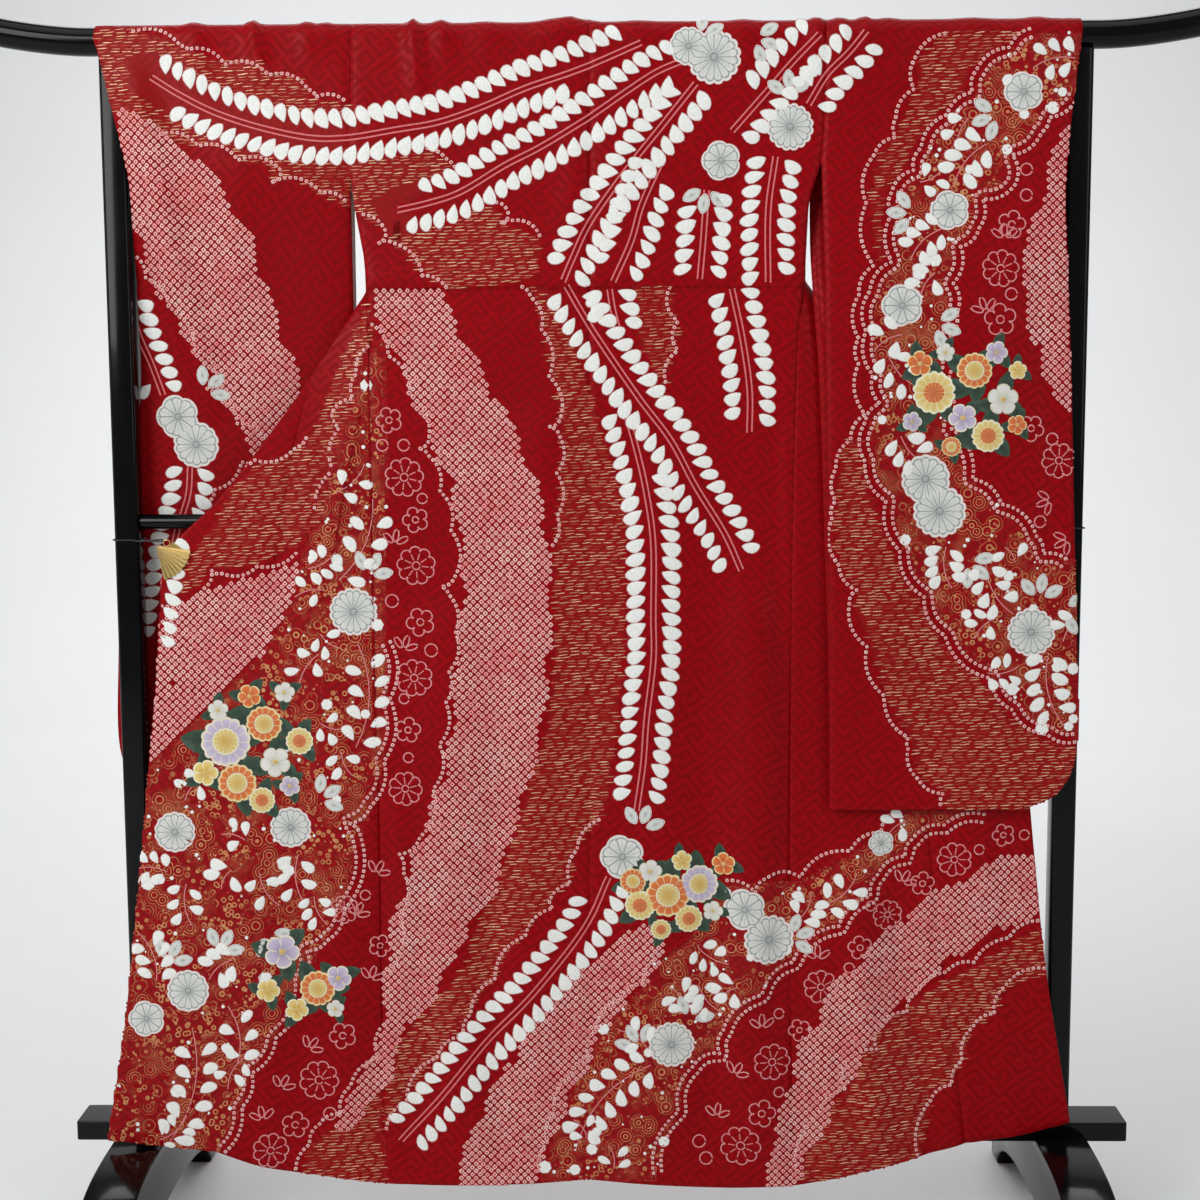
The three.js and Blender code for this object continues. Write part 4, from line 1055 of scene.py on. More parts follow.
# garlands: stem, leaf and pitch in millimetres, distances of the two rows, the part of the stem each takes
GARLAND_CHART = (
    (((642, 41), (581, 68), (524, 86), (483, 106), (438, 122), (395, 131), (350, 137), (310, 137), (260,
     128), (215, 112), (178, 93), (150, 78)), 28, 19.2, (17, 19), (0.14, 0.96), (0.01, 1)),
    (((683, 60), (655, 72), (626, 90), (583, 120), (540, 145), (503, 165), (462, 190), (430, 203), (398,
     209)), 27, 19.2, (18, 17), (0.03, 1), (0.0, 0.97)),
    (((697, 84), (665, 123), (630, 166), (591, 220), (572, 255), (562, 282)), 28, 19.8, (16, 15), (0.0, 1),
     (0.05, 1)),
    (((566, 286), (580, 310), (599, 341), (638, 399), (669, 442), (696, 485), (723, 531), (741, 573)), 27,
     19.8, (18, 18), (0.03, 1), (0.0, 1)),
    (((624, 408), (636, 445), (646, 490), (652, 545), (655, 617), (654, 660), (648, 720), (642, 765), (636,
     812)), 28, 19.8, (18, 18), (0.16, 1), (0.0, 1)),
    (((658, 165), (643, 205), (630, 243), (614, 283)), 27, 19.8, (17, 21), (0.05, 1), (0.0, 1)),
    (((608, 288), (614, 310), (622, 340)), 27, 19.8, (17, 17), (0.0, 1), (0.0, 0.8)),
    (((708, 190), (703, 240), (700, 283)), 27, 19.8, (18, 18), (0.0, 1), (0.08, 1)),
    (((776, 155), (770, 210), (768, 284)), 27, 19.8, (18, 18), (0.0, 1), (0.0, 1)),
    (((731, 288), (741, 340), (748, 390), (751, 432)), 27, 19.8, (17, 17), (0.0, 1), (0.0, 1)),
    (((733, 132), (766, 92), (793, 60), (820, 32)), 27, 19.8, (18, 18), (0.3, 1), (0.0, 0.95)),
    (((808, 104), (828, 74), (850, 48), (870, 26)), 27, 19.8, (15, 17), (0.1, 1), (0.0, 1)),
    (((607, 876), (584, 930), (535, 989), (483, 1047), (438, 1100), (402, 1140)), 27, 19.8, (18, 19), (0.0,
     1), (0.06, 1)),
    (((130, 300), (138, 335), (150, 365), (161, 396)), 27, 19.8, (14, 17), (0.0, 1), (0.2, 1)),
    (((186, 466), (178, 500), (166, 540), (156, 600), (150, 650)), 27, 19.8, (16, 16), (0.0, 1), (0.0, 1)),
)
# sprigs: from, to, leaves on a side, leaf
SPRIG_CHART = (
    (1078, 56, 1036, 66, 3, 13), (990, 143, 956, 188, 4, 14), (972, 118, 958, 150, 2, 12),
    (944, 228, 910, 262, 4, 13), (935, 272, 920, 300, 2, 13), (901, 334, 872, 352, 2, 15),
    (886, 352, 922, 390, 3, 13), (900, 436, 930, 466, 3, 14), (944, 545, 953, 590, 4, 13),
    (984, 565, 1012, 612, 4, 13), (1046, 652, 1062, 724, 5, 14), (1078, 620, 1062, 640, 2, 13),
    (1012, 560, 1004, 546, 1, 12), (338, 578, 374, 498, 4, 15), (356, 748, 358, 644, 5, 14),
    (318, 655, 298, 690, 2, 12), (300, 855, 306, 905, 3, 13), (235, 868, 222, 888, 2, 14),
    (190, 880, 196, 925, 3, 12), (160, 975, 140, 930, 4, 13), (176, 1132, 196, 1022, 6, 15),
    (236, 955, 212, 975, 3, 14), (240, 1058, 230, 1000, 3, 13), (262, 870, 282, 905, 2, 12),
    (342, 490, 366, 462, 2, 12), (205, 780, 186, 800, 2, 12), (652, 1064, 576, 1152, 7, 15),
    (646, 1047, 616, 1030, 2, 13), (700, 985, 722, 1012, 3, 13), (690, 1010, 668, 985, 3, 13),
    (826, 905, 858, 872, 3, 13), (800, 920, 812, 890, 3, 13), (736, 985, 716, 1006, 2, 13),
    (905, 822, 888, 836, 2, 12),
)
# drawn rosettes: x, y, radius, petals
ROSETTE_CHART = (
    (716, 58, 26, 16), (688, 46, 18, 12), (789, 127, 22, 16), (720, 160, 19, 5), (622, 857, 21, 5),
    (744, 908, 20, 5), (770, 938, 24, 16), (670, 1043, 22, 16), (354, 611, 23, 16), (176, 830, 19, 14),
    (293, 826, 19, 14), (192, 986, 20, 14), (150, 1012, 17, 5), (176, 418, 21, 5), (194, 446, 22, 14),
    (1025, 88, 19, 5), (951, 209, 19, 5), (903, 307, 20, 5), (926, 478, 23, 14), (938, 512, 25, 16),
    (1030, 632, 23, 16), (880, 842, 12, 5),
)
# three leaves together: x, y, direction in degrees
LEAF_THREE_CHART = (
    (789, 98, 95), (706, 186, 260), (640, 830, 70), (368, 575, 60), (202, 392, 40), (1000, 112, 200),
    (915, 212, 175), (935, 322, 340), (968, 560, 320), (1036, 598, 80), (790, 940, 20), (690, 1020, 60),
    (640, 1046, 120), (222, 950, 60), (170, 960, 60), (270, 930, 300), (700, 36, 30), (756, 36, 340),
    (320, 800, 30), (1062, 610, 350),
)
# outlined daisies: x, y, radius
DAISY_CHART = (
    (403, 476, 19), (418, 566, 19), (415, 676, 18), (405, 787, 17), (953, 861, 17), (887, 914, 15),
    (821, 986, 17), (773, 1060, 18), (740, 1144, 20), (1000, 268, 18), (1060, 461, 17), (322, 1076, 19),
    (275, 1144, 17), (344, 908, 14),
)
# outlined five-petal flowers: x, y, radius
PLUM_CHART = (
    (391, 421, 13), (415, 520, 13), (421, 620, 14), (408, 729, 13), (381, 947, 11), (345, 1034, 13),
    (1004, 837, 11), (921, 885, 12), (861, 944, 12), (760, 1110, 14), (1012, 223, 14), (1001, 321, 16),
    (1030, 427, 13), (298, 1120, 13), (800, 1030, 11),
)
# small rings: x, y, radius
RING_CHART = (
    (384, 445, 6), (404, 444, 6), (422, 499, 5), (392, 602, 6), (432, 648, 6), (407, 758, 5), (979, 849, 5),
    (848, 967, 5), (870, 905, 5), (779, 1015, 5), (780, 1090, 5), (698, 1142, 6), (706, 1158, 6),
    (1030, 170, 6), (1028, 196, 6), (1012, 295, 6), (1052, 440, 6), (1040, 520, 6), (404, 700, 5),
    (366, 893, 5), (1026, 835, 5), (330, 1110, 6),
)
# outlined sprays of three drops: x, y, direction in degrees
SPRAY_CHART = (
    (396, 543, 80), (403, 651, 70), (376, 875, 60), (356, 914, 60), (818, 960, 90), (760, 1026, 90),
    (734, 1074, 60), (718, 1118, 80), (987, 311, 110), (1050, 500, 200), (1066, 540, 210), (283, 1085, 60),
    (268, 1115, 100), (311, 1046, 50), (900, 885, 60), (1005, 240, 90), (372, 980, 70),
)
# bands with a gold ground, corner by corner
GARDEN_CHART = (
    ((385, 335), (386, 500), (386, 620), (389, 700), (385, 761), (374, 806), (362, 835), (346, 908), (329,
     938), (305, 975), (277, 1033), (255, 1068), (246, 1100), (225, 1148), (170, 1156), (100, 1145), (118,
     1060), (136, 880), (146, 765), (173, 745), (203, 712), (225, 686), (262, 655), (275, 635), (291, 604),
     (300, 560), (318, 520), (335, 480), (345, 440), (352, 400), (362, 365)),
    ((1037, 28), (1012, 48), (982, 68), (977, 89), (950, 111), (925, 146), (919, 168), (897, 193), (894,
     214), (896, 262), (872, 290), (868, 330), (874, 375), (882, 405), (869, 421), (869, 461), (887, 500),
     (903, 551), (926, 596), (948, 634), (990, 674), (1012, 706), (1045, 731), (1078, 738), (1085, 560),
     (1043, 556), (1034, 538), (999, 504), (970, 479), (949, 430), (943, 386), (943, 343), (952, 314), (950,
     282), (959, 246), (977, 229), (982, 200), (1013, 184), (1013, 154), (1041, 132), (1048, 114), (1085,
     88), (1085, 28)),
    ((905, 812), (881, 836), (849, 852), (801, 880), (765, 880), (724, 884), (690, 940), (655, 962), (645,
     985), (622, 1002), (599, 1034), (590, 1062), (573, 1078), (557, 1115), (550, 1142), (542, 1180), (656,
     1180), (678, 1110), (690, 1066), (718, 1052), (722, 1030), (759, 994), (791, 962), (835, 926), (867,
     895), (875, 873), (903, 857), (911, 841), (945, 825), (985, 812)),
)
# embroidered blooms: x, y, radius, petals, thread
BLOOM_CHART = (
    (935, 392, 17, "many", "yellow"), (975, 372, 14, "many", "orange"), (1004, 398, 12, "five", "white"),
    (962, 418, 11, "five", "lilac"), (996, 352, 9, "five", "lilac"), (921, 362, 10, "five", "orange"),
    (1018, 372, 7, "five", "yellow"), (946, 352, 7, "five", "white"), (986, 436, 13, "many", "yellow"),
    (1016, 425, 8, "five", "orange"), (952, 447, 8, "many", "orange"), (912, 420, 8, "five", "lilac"),
    (228, 742, 19, "many", "lilac"), (264, 722, 14, "many", "orange"), (238, 782, 15, "many", "orange"),
    (276, 762, 12, "five", "white"), (300, 740, 11, "many", "yellow"), (206, 772, 10, "five", "yellow"),
    (262, 800, 10, "many", "yellow"), (250, 696, 9, "five", "orange"), (285, 692, 8, "five", "white"),
    (218, 710, 8, "five", "white"), (290, 785, 8, "five", "lilac"), (283, 950, 13, "five", "lilac"),
    (318, 985, 14, "many", "orange"), (300, 1008, 9, "five", "yellow"), (340, 975, 10, "five", "lilac"),
    (272, 985, 9, "five", "yellow"), (336, 1005, 7, "five", "white"), (668, 893, 17, "many", "orange"),
    (640, 906, 12, "many", "yellow"), (700, 884, 15, "many", "lilac"), (690, 918, 11, "many", "yellow"),
    (722, 862, 9, "five", "orange"), (652, 870, 9, "five", "white"), (632, 880, 10, "many", "orange"),
    (714, 910, 8, "five", "white"), (680, 860, 8, "five", "yellow"), (662, 930, 8, "many", "yellow"),
)


# ---------------------------------------------------------------- from the camera's view to the cloth
VIEW = 1200  # units across the camera's view, x to the right and y down
GRAIN = 5  # places on the cloth are rounded to this, mm
LEFT_SLEEVE = (350, 500)  # the left sleeve shows to the left of this place and above it
RIGHT_SLEEVE = (824, 815)  # and the right sleeve to the right of this one and above it
LEAN_FROM, LEAN_TO = 500, 1180  # the body's cloth leans outwards between these heights of the view
SPRIG_GROW, ROSETTE_GROW, BLOOM_GROW = 1.3, 1.08, 1.3  # size on the cloth over size in the chart


def cloth_depth(x, y):
    """Mean Y of the cloth at a place in the view: left sleeve, right sleeve, or the body."""
    if x < LEFT_SLEEVE[0] and y < LEFT_SLEEVE[1]:
        return -20 if y < 180 else 5
    if x > RIGHT_SLEEVE[0] and y < RIGHT_SLEEVE[1]:
        return -45
    return -30 - 25 * max(0, y - LEAN_FROM) / (LEAN_TO - LEAN_FROM)


def through(x, y, depth):
    """X and Z, in whole millimetres, where the ray through a place in the view meets the plane Y = depth."""
    forward, right, up = camera_axes()
    focal = LENS / SENSOR * VIEW
    ray = forward + (x - VIEW / 2) / focal * right - (y - VIEW / 2) / focal * up
    at = np.array(CAMERA_AT) + (depth * MM - CAMERA_AT[1]) / ray[1] * ray
    return round(at[0] / MM), round(at[2] / MM)


def spot(x, y):
    return tuple(GRAIN * round(v / GRAIN) for v in through(x, y, cloth_depth(x, y)))


def spots(path):
    return tuple(spot(x, y) for x, y in path)


def scaled(x, y, size):
    """A size in view units, in millimetres on the cloth at that place."""
    depth = cloth_depth(x, y)
    return (through(x + 100, y, depth)[0] - through(x, y, depth)[0]) / 100 * size


def discs(chart, grow=1.0):
    """Rows of x, y, radius and more, with the place and the radius turned into millimetres."""
    return tuple((*spot(x, y), round(scaled(x, y, radius * grow)), *rest) for x, y, radius, *rest in chart)


def garland_row(path, leaf, pitch, aways, left, right):
    aways = tuple(round(scaled(VIEW / 2, VIEW / 2, away)) for away in aways)
    return spots(path), leaf, pitch, aways, left, right


def sprig_row(x0, y0, x1, y1, count, leaf):
    return *spot(x0, y0), *spot(x1, y1), count, round(scaled(VIEW / 2, VIEW / 2, leaf * SPRIG_GROW))


RESIST_BANDS = tuple(discs(band) for band in RESIST_BAND_CHART)
RESIST_AREAS = tuple(spots(area) for area in RESIST_AREA_CHART)
FOIL_AREAS = tuple(spots(area) for area in FOIL_CHART)
CLOUD_LINES = tuple((spots(path), bulge, count) for path, bulge, count in CLOUD_CHART)
GARLANDS = tuple(garland_row(*row) for row in GARLAND_CHART)
SPRIGS = tuple(sprig_row(*row) for row in SPRIG_CHART)
ROSETTES = discs(ROSETTE_CHART, ROSETTE_GROW)
LEAF_THREES = tuple((*spot(x, y), turn) for x, y, turn in LEAF_THREE_CHART)
DAISIES = discs(DAISY_CHART)
PLUMS = discs(PLUM_CHART)
RINGS = discs(RING_CHART)
SPRAYS = tuple((*spot(x, y), turn) for x, y, turn in SPRAY_CHART)
GARDENS = tuple(spots(area) for area in GARDEN_CHART)
BLOOMS = discs(BLOOM_CHART, BLOOM_GROW)


# ---------------------------------------------------------------- the cloth as a canvas
CELL = 2.0  # millimetres
X_FROM, Z_FROM, X_CELLS, Z_CELLS = -744.0, 60.0, 744, 850


def finer(grid, times):
    """Straight interpolation to more rows and columns."""
    for axis in (0, 1):
        n = grid.shape[axis]
        at = np.linspace(0, n - 1, (n - 1) * times + 1)
        low = np.minimum(at.astype(int), n - 2)
        share = (at - low).reshape((-1, 1, 1) if axis == 0 else (1, -1, 1))
        grid = np.take(grid, low, axis) * (1 - share) + np.take(grid, low + 1, axis) * share
    return grid


class Canvas:
    """The cloth seen square on from one side. For every sheet a field of how deep its outer layer lies at
    (x, z), and for every cell the sheet that lies in front."""

    def __init__(self, side, names):
        self.side = side
        self.names = names
        sheets = {sheet.name: sheet for sheet in Cloth.all}
        fields = []
        for name in names:
            points = finer(sheets[name].outer(), 6).reshape(-1, 3)
            if side == FAR and name.startswith("front"):
                points = points[points[:, 2] > 1430]
            i = ((points[:, 0] - X_FROM) / CELL).astype(int)
            j = ((points[:, 2] - Z_FROM) / CELL).astype(int)
            field = np.full(X_CELLS * Z_CELLS, np.inf)
            np.minimum.at(field, i * Z_CELLS + j, -side * points[:, 1])
            fields.append(field.reshape(X_CELLS, Z_CELLS))
        fields = np.array(fields)
        self.owner = np.where(np.isfinite(fields.min(axis=0)), fields.argmin(axis=0), -1)
        self.fields = self.filled(fields)

    @staticmethod
    def filled(fields):
        """Empty cells take the mean of the neighbours that have a value, three times over; the rest stay
        0."""
        for _ in range(3):
            empty = ~np.isfinite(fields)
            value = np.where(empty, 0.0, fields)
            total, count = np.zeros_like(value), np.zeros_like(value)
            for axis in (1, 2):
                for step in (-1, 1):
                    total += np.roll(value, step, axis)
                    count += np.roll(~empty, step, axis)
            fields = np.where(empty & (count > 0), total / np.maximum(count, 1), fields)
        return np.where(np.isfinite(fields), fields, 0.0)

    def owned(self, at):
        i = np.clip(((at[..., 0] - X_FROM) / CELL).astype(int), 0, X_CELLS - 1)
        j = np.clip(((at[..., 1] - Z_FROM) / CELL).astype(int), 0, Z_CELLS - 1)
        return self.owner[i, j]

    def deep(self, sheet, at):
        """Bilinear value of a sheet's field."""
        a = np.clip((at[..., 0] - X_FROM) / CELL - 0.5, 0, X_CELLS - 1.001)
        b = np.clip((at[..., 1] - Z_FROM) / CELL - 0.5, 0, Z_CELLS - 1.001)
        i, j = a.astype(int), b.astype(int)
        a, b = a - i, b - j
        f = self.fields
        low = f[sheet, i, j] * (1 - a) + f[sheet, i + 1, j] * a
        high = f[sheet, i, j + 1] * (1 - a) + f[sheet, i + 1, j + 1] * a
        return low * (1 - b) + high * b

    def lay(self, centres, offsets, lift):
        """Points of motifs on the cloth, in metres. A point that leaves the cloth, or crosses a step in its
        depth, is drawn back towards its motif's centre until it doesn't (bisection). Then it moves out by
        its lift along the normal. Also gives which motifs are whole enough to keep."""
        centres = centres[:, None, :]
        home = self.owned(centres)
        start = self.deep(np.maximum(home, 0), centres)

        def fine(share):
            at = centres + offsets * share[..., None]
            own = self.owned(at)
            step = np.abs(self.deep(np.maximum(own, 0), at) - start)
            near = step < 2.5 + 0.3 * np.linalg.norm(offsets, axis=2) * share
            return (own >= 0) & (near | (own == home))

        low, high = np.zeros(offsets.shape[:2]), np.ones(offsets.shape[:2])
        whole = fine(high)
        for _ in range(6):
            middle = (low + high) / 2
            good = fine(middle)
            low, high = np.where(good, middle, low), np.where(good, high, middle)
        share = np.where(whole, 1.0, low)
        at = centres + offsets * share[..., None]
        own = np.maximum(self.owned(at), 0)
        y = -self.side * self.deep(own, at)
        over_x = self.deep(own, at + (3.0, 0)) - self.deep(own, at - (3.0, 0))
        over_z = self.deep(own, at + (0, 3.0)) - self.deep(own, at - (0, 3.0))
        over_x, over_z = np.clip(over_x / 6, -1.5, 1.5), np.clip(over_z / 6, -1.5, 1.5)
        normal = unit(np.stack([over_x, np.full_like(y, self.side), over_z], axis=2))
        points = np.stack([at[..., 0], y, at[..., 1]], axis=2) + normal * np.asarray(lift)[..., None]
        return points * MM, (home[:, 0] >= 0) & (share.mean(axis=1) > 0.35)


# ---------------------------------------------------------------- plane geometry of the pattern
def inside(points, corners):
    """Whether an odd number of the polygon's sides cross the ray from each point to the left."""
    p = points[:, None, :]
    a = np.array(corners, float)[None]
    b = np.roll(a, -1, axis=1)
    rise = b[..., 1] - a[..., 1]
    x = a[..., 0] + (p[..., 1] - a[..., 1]) * (b[..., 0] - a[..., 0]) / np.where(rise == 0, 1e-9, rise)
    crossed = ((a[..., 1] > p[..., 1]) != (b[..., 1] > p[..., 1])) & (x < p[..., 0])
    return crossed.sum(axis=1) % 2 == 1


def spaced(path, step):
    """Points at equal steps along a polyline, and the direction there."""
    path = np.asarray(path, float)
    far = np.concatenate([[0.0], np.cumsum(np.linalg.norm(np.diff(path, axis=0), axis=1))])
    at = (np.arange(max(1, int(far[-1] / step))) + 0.5) * step
    points = np.stack([np.interp(at, far, path[:, k]) for k in (0, 1)], axis=1)
    after, before = (np.stack([np.interp(at + s, far, path[:, k]) for k in (0, 1)], axis=1) for s in (2, -2))
    ahead = after - before
    return points, np.arctan2(ahead[:, 1], ahead[:, 0])


def catmull_rom(path, steps):
    """A cubic through the points, with each point's slope taken from its neighbours, in steps from point to
    point: b + t / 2 (c - a + t (2 a - 5 b + 4 c - d + t (3 (b - c) + d - a)))."""
    p = np.asarray(path, float)
    p = np.concatenate([[2 * p[0] - p[1]], p, [2 * p[-1] - p[-2]]])
    t = np.linspace(0, 1, steps + 1)[None, :-1, None]
    a, b, c, d = (p[k:len(p) - 3 + k, None] for k in range(4))
    curve = b + t / 2 * (c - a + t * (2 * a - 5 * b + 4 * c - d + t * (3 * (b - c) + d - a)))
    return np.concatenate([curve.reshape(-1, p.shape[1]), p[-2:-1]])


def scalloped(cusps, bulge):
    """Parabolas from cusp to cusp, each as high as its chord times the bulge."""
    a, b = np.array(cusps[:-1], float), np.array(cusps[1:], float)
    t = np.linspace(0, 1, 17)[None, :-1, None]
    chord = b - a
    beside = np.stack([chord[:, 1], -chord[:, 0]], axis=1)
    points = a[:, None] + chord[:, None] * t + beside[:, None] * bulge * 4 * t * (1 - t)
    return np.concatenate([points.reshape(-1, 2), b[-1:]])


def beside_path(path, distance):
    """The polyline moved to its right by the distance."""
    ahead = unit(np.gradient(path, axis=0))
    return path + np.stack([ahead[:, 1], -ahead[:, 0]], axis=1) * distance


def nearest(points, path):
    """Distance from each point to the polyline's points, and the index of the nearest one."""
    gap = np.linalg.norm(points[:, None, :] - path[None], axis=2)
    return gap.min(axis=1), gap.argmin(axis=1)


def turned(shape, angles, sizes=1.0):
    """One shape (k, 2), or one for every motif (n, k, 2), turned and scaled for each of n motifs."""
    c, s = np.cos(angles)[:, None], np.sin(angles)[:, None]
    x, z = np.asarray(shape, float)[..., 0], np.asarray(shape, float)[..., 1]
    size = np.broadcast_to(sizes, (len(angles),))[:, None]
    return np.stack([(x * c - z * s) * size, (x * s + z * c) * size], axis=2)


def disc(rings, spokes):
    """Triangles of a centre point and rings of spokes around it, and each point's (ring share, angle)."""
    angle = np.arange(spokes) / spokes * 2 * math.pi
    share = np.concatenate([[0.0], np.repeat(np.arange(1, rings + 1) / rings, spokes)])
    angles = np.concatenate([[0.0], np.tile(angle, rings)])
    k = np.arange(spokes)
    after = (k + 1) % spokes
    faces = [np.stack([0 * k, 1 + k, 1 + after], axis=1)]
    for ring in range(1, rings):
        low, high = 1 + (ring - 1) * spokes, 1 + ring * spokes
        faces.append(np.stack([low + k, high + k, high + after], axis=1))
        faces.append(np.stack([low + k, high + after, low + after], axis=1))
    return np.concatenate(faces), share, angles


# ---------------------------------------------------------------- pattern materials
PATTERN_SPECULAR = 0.14


def on_silk(m, share, colour, gloss=0.5, height=None, sheen=0.02, metal=None, deep=0.0004):
    """A material that shows the crimson ground where share is 0 and its own colour where it is 1."""
    ground, rough, normal = silk_ground(m)
    values = {
        "Base_Color": m.mix(share, ground, colour),
        "Roughness": m.span(share, 0.0, 1.0, rough, gloss),
        "Normal": normal if height is None else m.bump(height, 0.6, deep, normal),
        "Sheen_Weight": sheen,
        "Specular_IOR_Level": PATTERN_SPECULAR,
    }
    if metal is not None:
        values["Metallic"] = m.times(share, metal)
    return m.finish(**values)


def resist_dot():
    """A pale ring between a square and a circle, with a red eye and a dyed rim: u and v run from -1 to 1,
    and the ring lies where d = 0.6 max(|u|, |v|) + 0.36 sqrt(u^2 + v^2), made uneven by noise, is between
    0.3 and 0.8."""
    m = Nodes("resist_dot")
    u, v, _ = m.split(m.uv())
    ragged = m.span(m.noise(m.place(), 900.0, 2.0), 0.0, 1.0, -0.10, 0.10)
    reach = m.most(m.size(u), m.size(v))
    round_by = m.math("SQRT", m.plus(m.times(u, u), m.times(v, v)))
    d = m.plus(m.times(reach, 0.6), m.times(round_by, 0.36))
    d = m.plus(d, ragged)
    ring = m.times(m.span(d, 0.22, 0.34, smooth=True), m.span(d, 0.84, 0.70, smooth=True))
    pale = m.mix(m.tint(), (0.86, 0.31, 0.31, 1), (0.95, 0.72, 0.67, 1))
    height = m.span(d, 0.0, 1.0, 1.0, 0.0)
    return on_silk(m, ring, pale, 0.6, height, deep=0.0010)


def pink_line():
    """A line of small stitched resist dots: v runs along it in dots, u across from -1 to 1."""
    m = Nodes("pink_line")
    u, v, _ = m.split(m.uv())
    bead = m.size(m.math("SINE", m.times(v, 3.1416)))
    edge = m.plus(m.size(u), m.span(m.noise(m.place(), 800.0, 2.0), 0.0, 1.0, -0.3, 0.3))
    mark = m.times(m.span(edge, 0.95, 0.45), m.span(bead, 0.0, 0.6, 0.35, 1.0))
    pale = m.mix(m.tint(), (0.80, 0.16, 0.18, 1), (0.88, 0.42, 0.42, 1))
    return on_silk(m, mark, pale, 0.6, bead, deep=0.0005)


def foil_dash():
    """A short lens of rubbed gold foil, from red to pale gold by its tint; v runs across it from -1 to 1."""
    m = Nodes("foil_dash")
    v = m.split(m.uv())[1]
    rub = m.noise(m.place(), 500.0, 2.0)
    across = m.size(v)
    mark = m.span(m.plus(across, m.span(rub, 0.0, 1.0, -0.3, 0.3)), 0.9, 0.5)
    gold = m.mix(m.tint(), (0.44, 0.050, 0.020, 1), (1.0, 0.68, 0.40, 1))
    gold = m.mix(m.span(rub, 0.42, 0.70, 0.0, 0.7), gold, (0.40, 0.03, 0.015, 1))
    return on_silk(m, mark, gold, 0.42, mark, 0.02, 0.25)


def foil_ground():
    """The ground between the dashes: crimson browned in thin level streaks."""
    m = Nodes("foil_ground")
    x, _, z = m.split(m.place())
    streak = m.noise(m.join(m.times(x, 60.0), 0.0, m.times(z, 700.0)), 1.0, 2.0)
    share = m.times(m.span(streak, 0.35, 0.65, 0.1, 0.75), m.tint())
    return on_silk(m, share, (0.30, 0.006, 0.004, 1), 0.5)


def leaf_white():
    """Bleached leaf: white silk, greyed as painted shade in the low spots of its crinkle bump, pink-grey in
    broad patches; its ragged rim stitched in pale pink. u is the share from the middle to the rim."""
    m = Nodes("leaf_white")
    u = m.split(m.uv())[0]
    fleck = m.noise(m.place(), 750.0, 3.0)
    broad = m.noise(m.place(), 160.0, 2.0)
    # Painted shade: grey where the crinkle noise, which is also the bump's height, is low, and white where it
    # is high.
    colour = m.mix(m.span(fleck, 0.40, 0.62), (0.78, 0.81, 0.75, 1), (1.0, 1.0, 0.97, 1))
    colour = m.mix(m.span(broad, 0.5, 0.75, 0.0, 0.2), colour, (0.86, 0.80, 0.76, 1))
    share = m.span(m.plus(u, m.span(fleck, 0.0, 1.0, -0.08, 0.08)), 1.0, 0.88)
    colour = m.mix(m.span(u, 0.80, 0.97), colour, (0.86, 0.62, 0.58, 1))
    return on_silk(m, share, colour, 0.55, fleck, 0.03)


def petal_grey(name):
    """Drawn rosette: petals round a small eye, dark ink lines between them and along their scalloped ends,
    pink stitched rim. u is the share from the middle to the rim, v the turn in petals."""
    m = Nodes(name)
    u, v, _ = m.split(m.uv())
    turn = m.size(m.minus(m.math("FRACT", v), 0.5))
    wash = m.noise(m.place(), 260.0, 3.0)
    colour = m.mix(m.span(u, 0.1, 0.95), (0.60, 0.62, 0.58, 1), (0.82, 0.82, 0.77, 1))
    colour = m.mix(m.span(wash, 0.45, 0.8, 0.0, 0.5), colour, (0.50, 0.53, 0.49, 1))
    wide = m.math("DIVIDE", 0.036, m.most(u, 0.25))
    between = m.span(m.minus(0.5, turn), 0.0, m.times(wide, 1.6), 1.0, 0.0)
    shorter = m.math("POWER", m.times(turn, 2.0), 4.0)
    ends = m.minus(0.86, m.times(shorter, 0.14))
    rim = m.span(m.size(m.minus(u, ends)), 0.0, 0.05, 1.0, 0.0)
    eye = m.span(m.size(m.minus(u, 0.13)), 0.0, 0.04, 1.0, 0.0)
    vein = m.span(turn, 0.0, 0.06, 0.35, 0.0)
    ink = m.most(m.most(between, vein), m.most(rim, eye))
    ink = m.times(ink, m.span(u, 0.92, 0.88))
    colour = m.mix(m.times(ink, 0.85), colour, (0.10, 0.14, 0.15, 1))
    colour = m.mix(m.span(u, 0.90, 0.94), colour, (0.88, 0.74, 0.70, 1))
    return on_silk(m, m.span(u, 1.0, 0.975), colour, 0.5, m.minus(1.0, ink), 0.03)


def thread(name, inner, outer, edge, petals_lined=True):
    """Satin stitch: threads run out from the middle; petals shade from inner to outer with an edge line."""
    m = Nodes(name)
    u, v, _ = m.split(m.uv())
    turn = m.size(m.minus(m.math("FRACT", v), 0.5))
    strand = m.math("SINE", m.times(v, 60.0))
    rub = m.noise(m.place(), 900.0, 2.0)
    colour = m.mix(m.span(u, 0.2, 0.9), inner, outer)
    # Painted shade: along every strand line the colour darkens, up to 0.22 of the way to 0.4 times the inner
    # colour.
    colour = m.mix(m.span(strand, -1.0, 1.0, 0.0, 0.22), colour, tuple(c * 0.4 for c in inner[:3]) + (1,))
    if petals_lined:
        lines = m.most(m.span(turn, 0.42, 0.48), m.span(u, 0.86, 0.92))
        colour = m.mix(lines, colour, edge)
    return m.finish(Base_Color=colour, Roughness=m.span(rub, 0.0, 1.0, 0.32, 0.5),
                    Normal=m.bump(strand, 0.5, 0.0004), Sheen_Weight=0.2, Specular_IOR_Level=0.5)


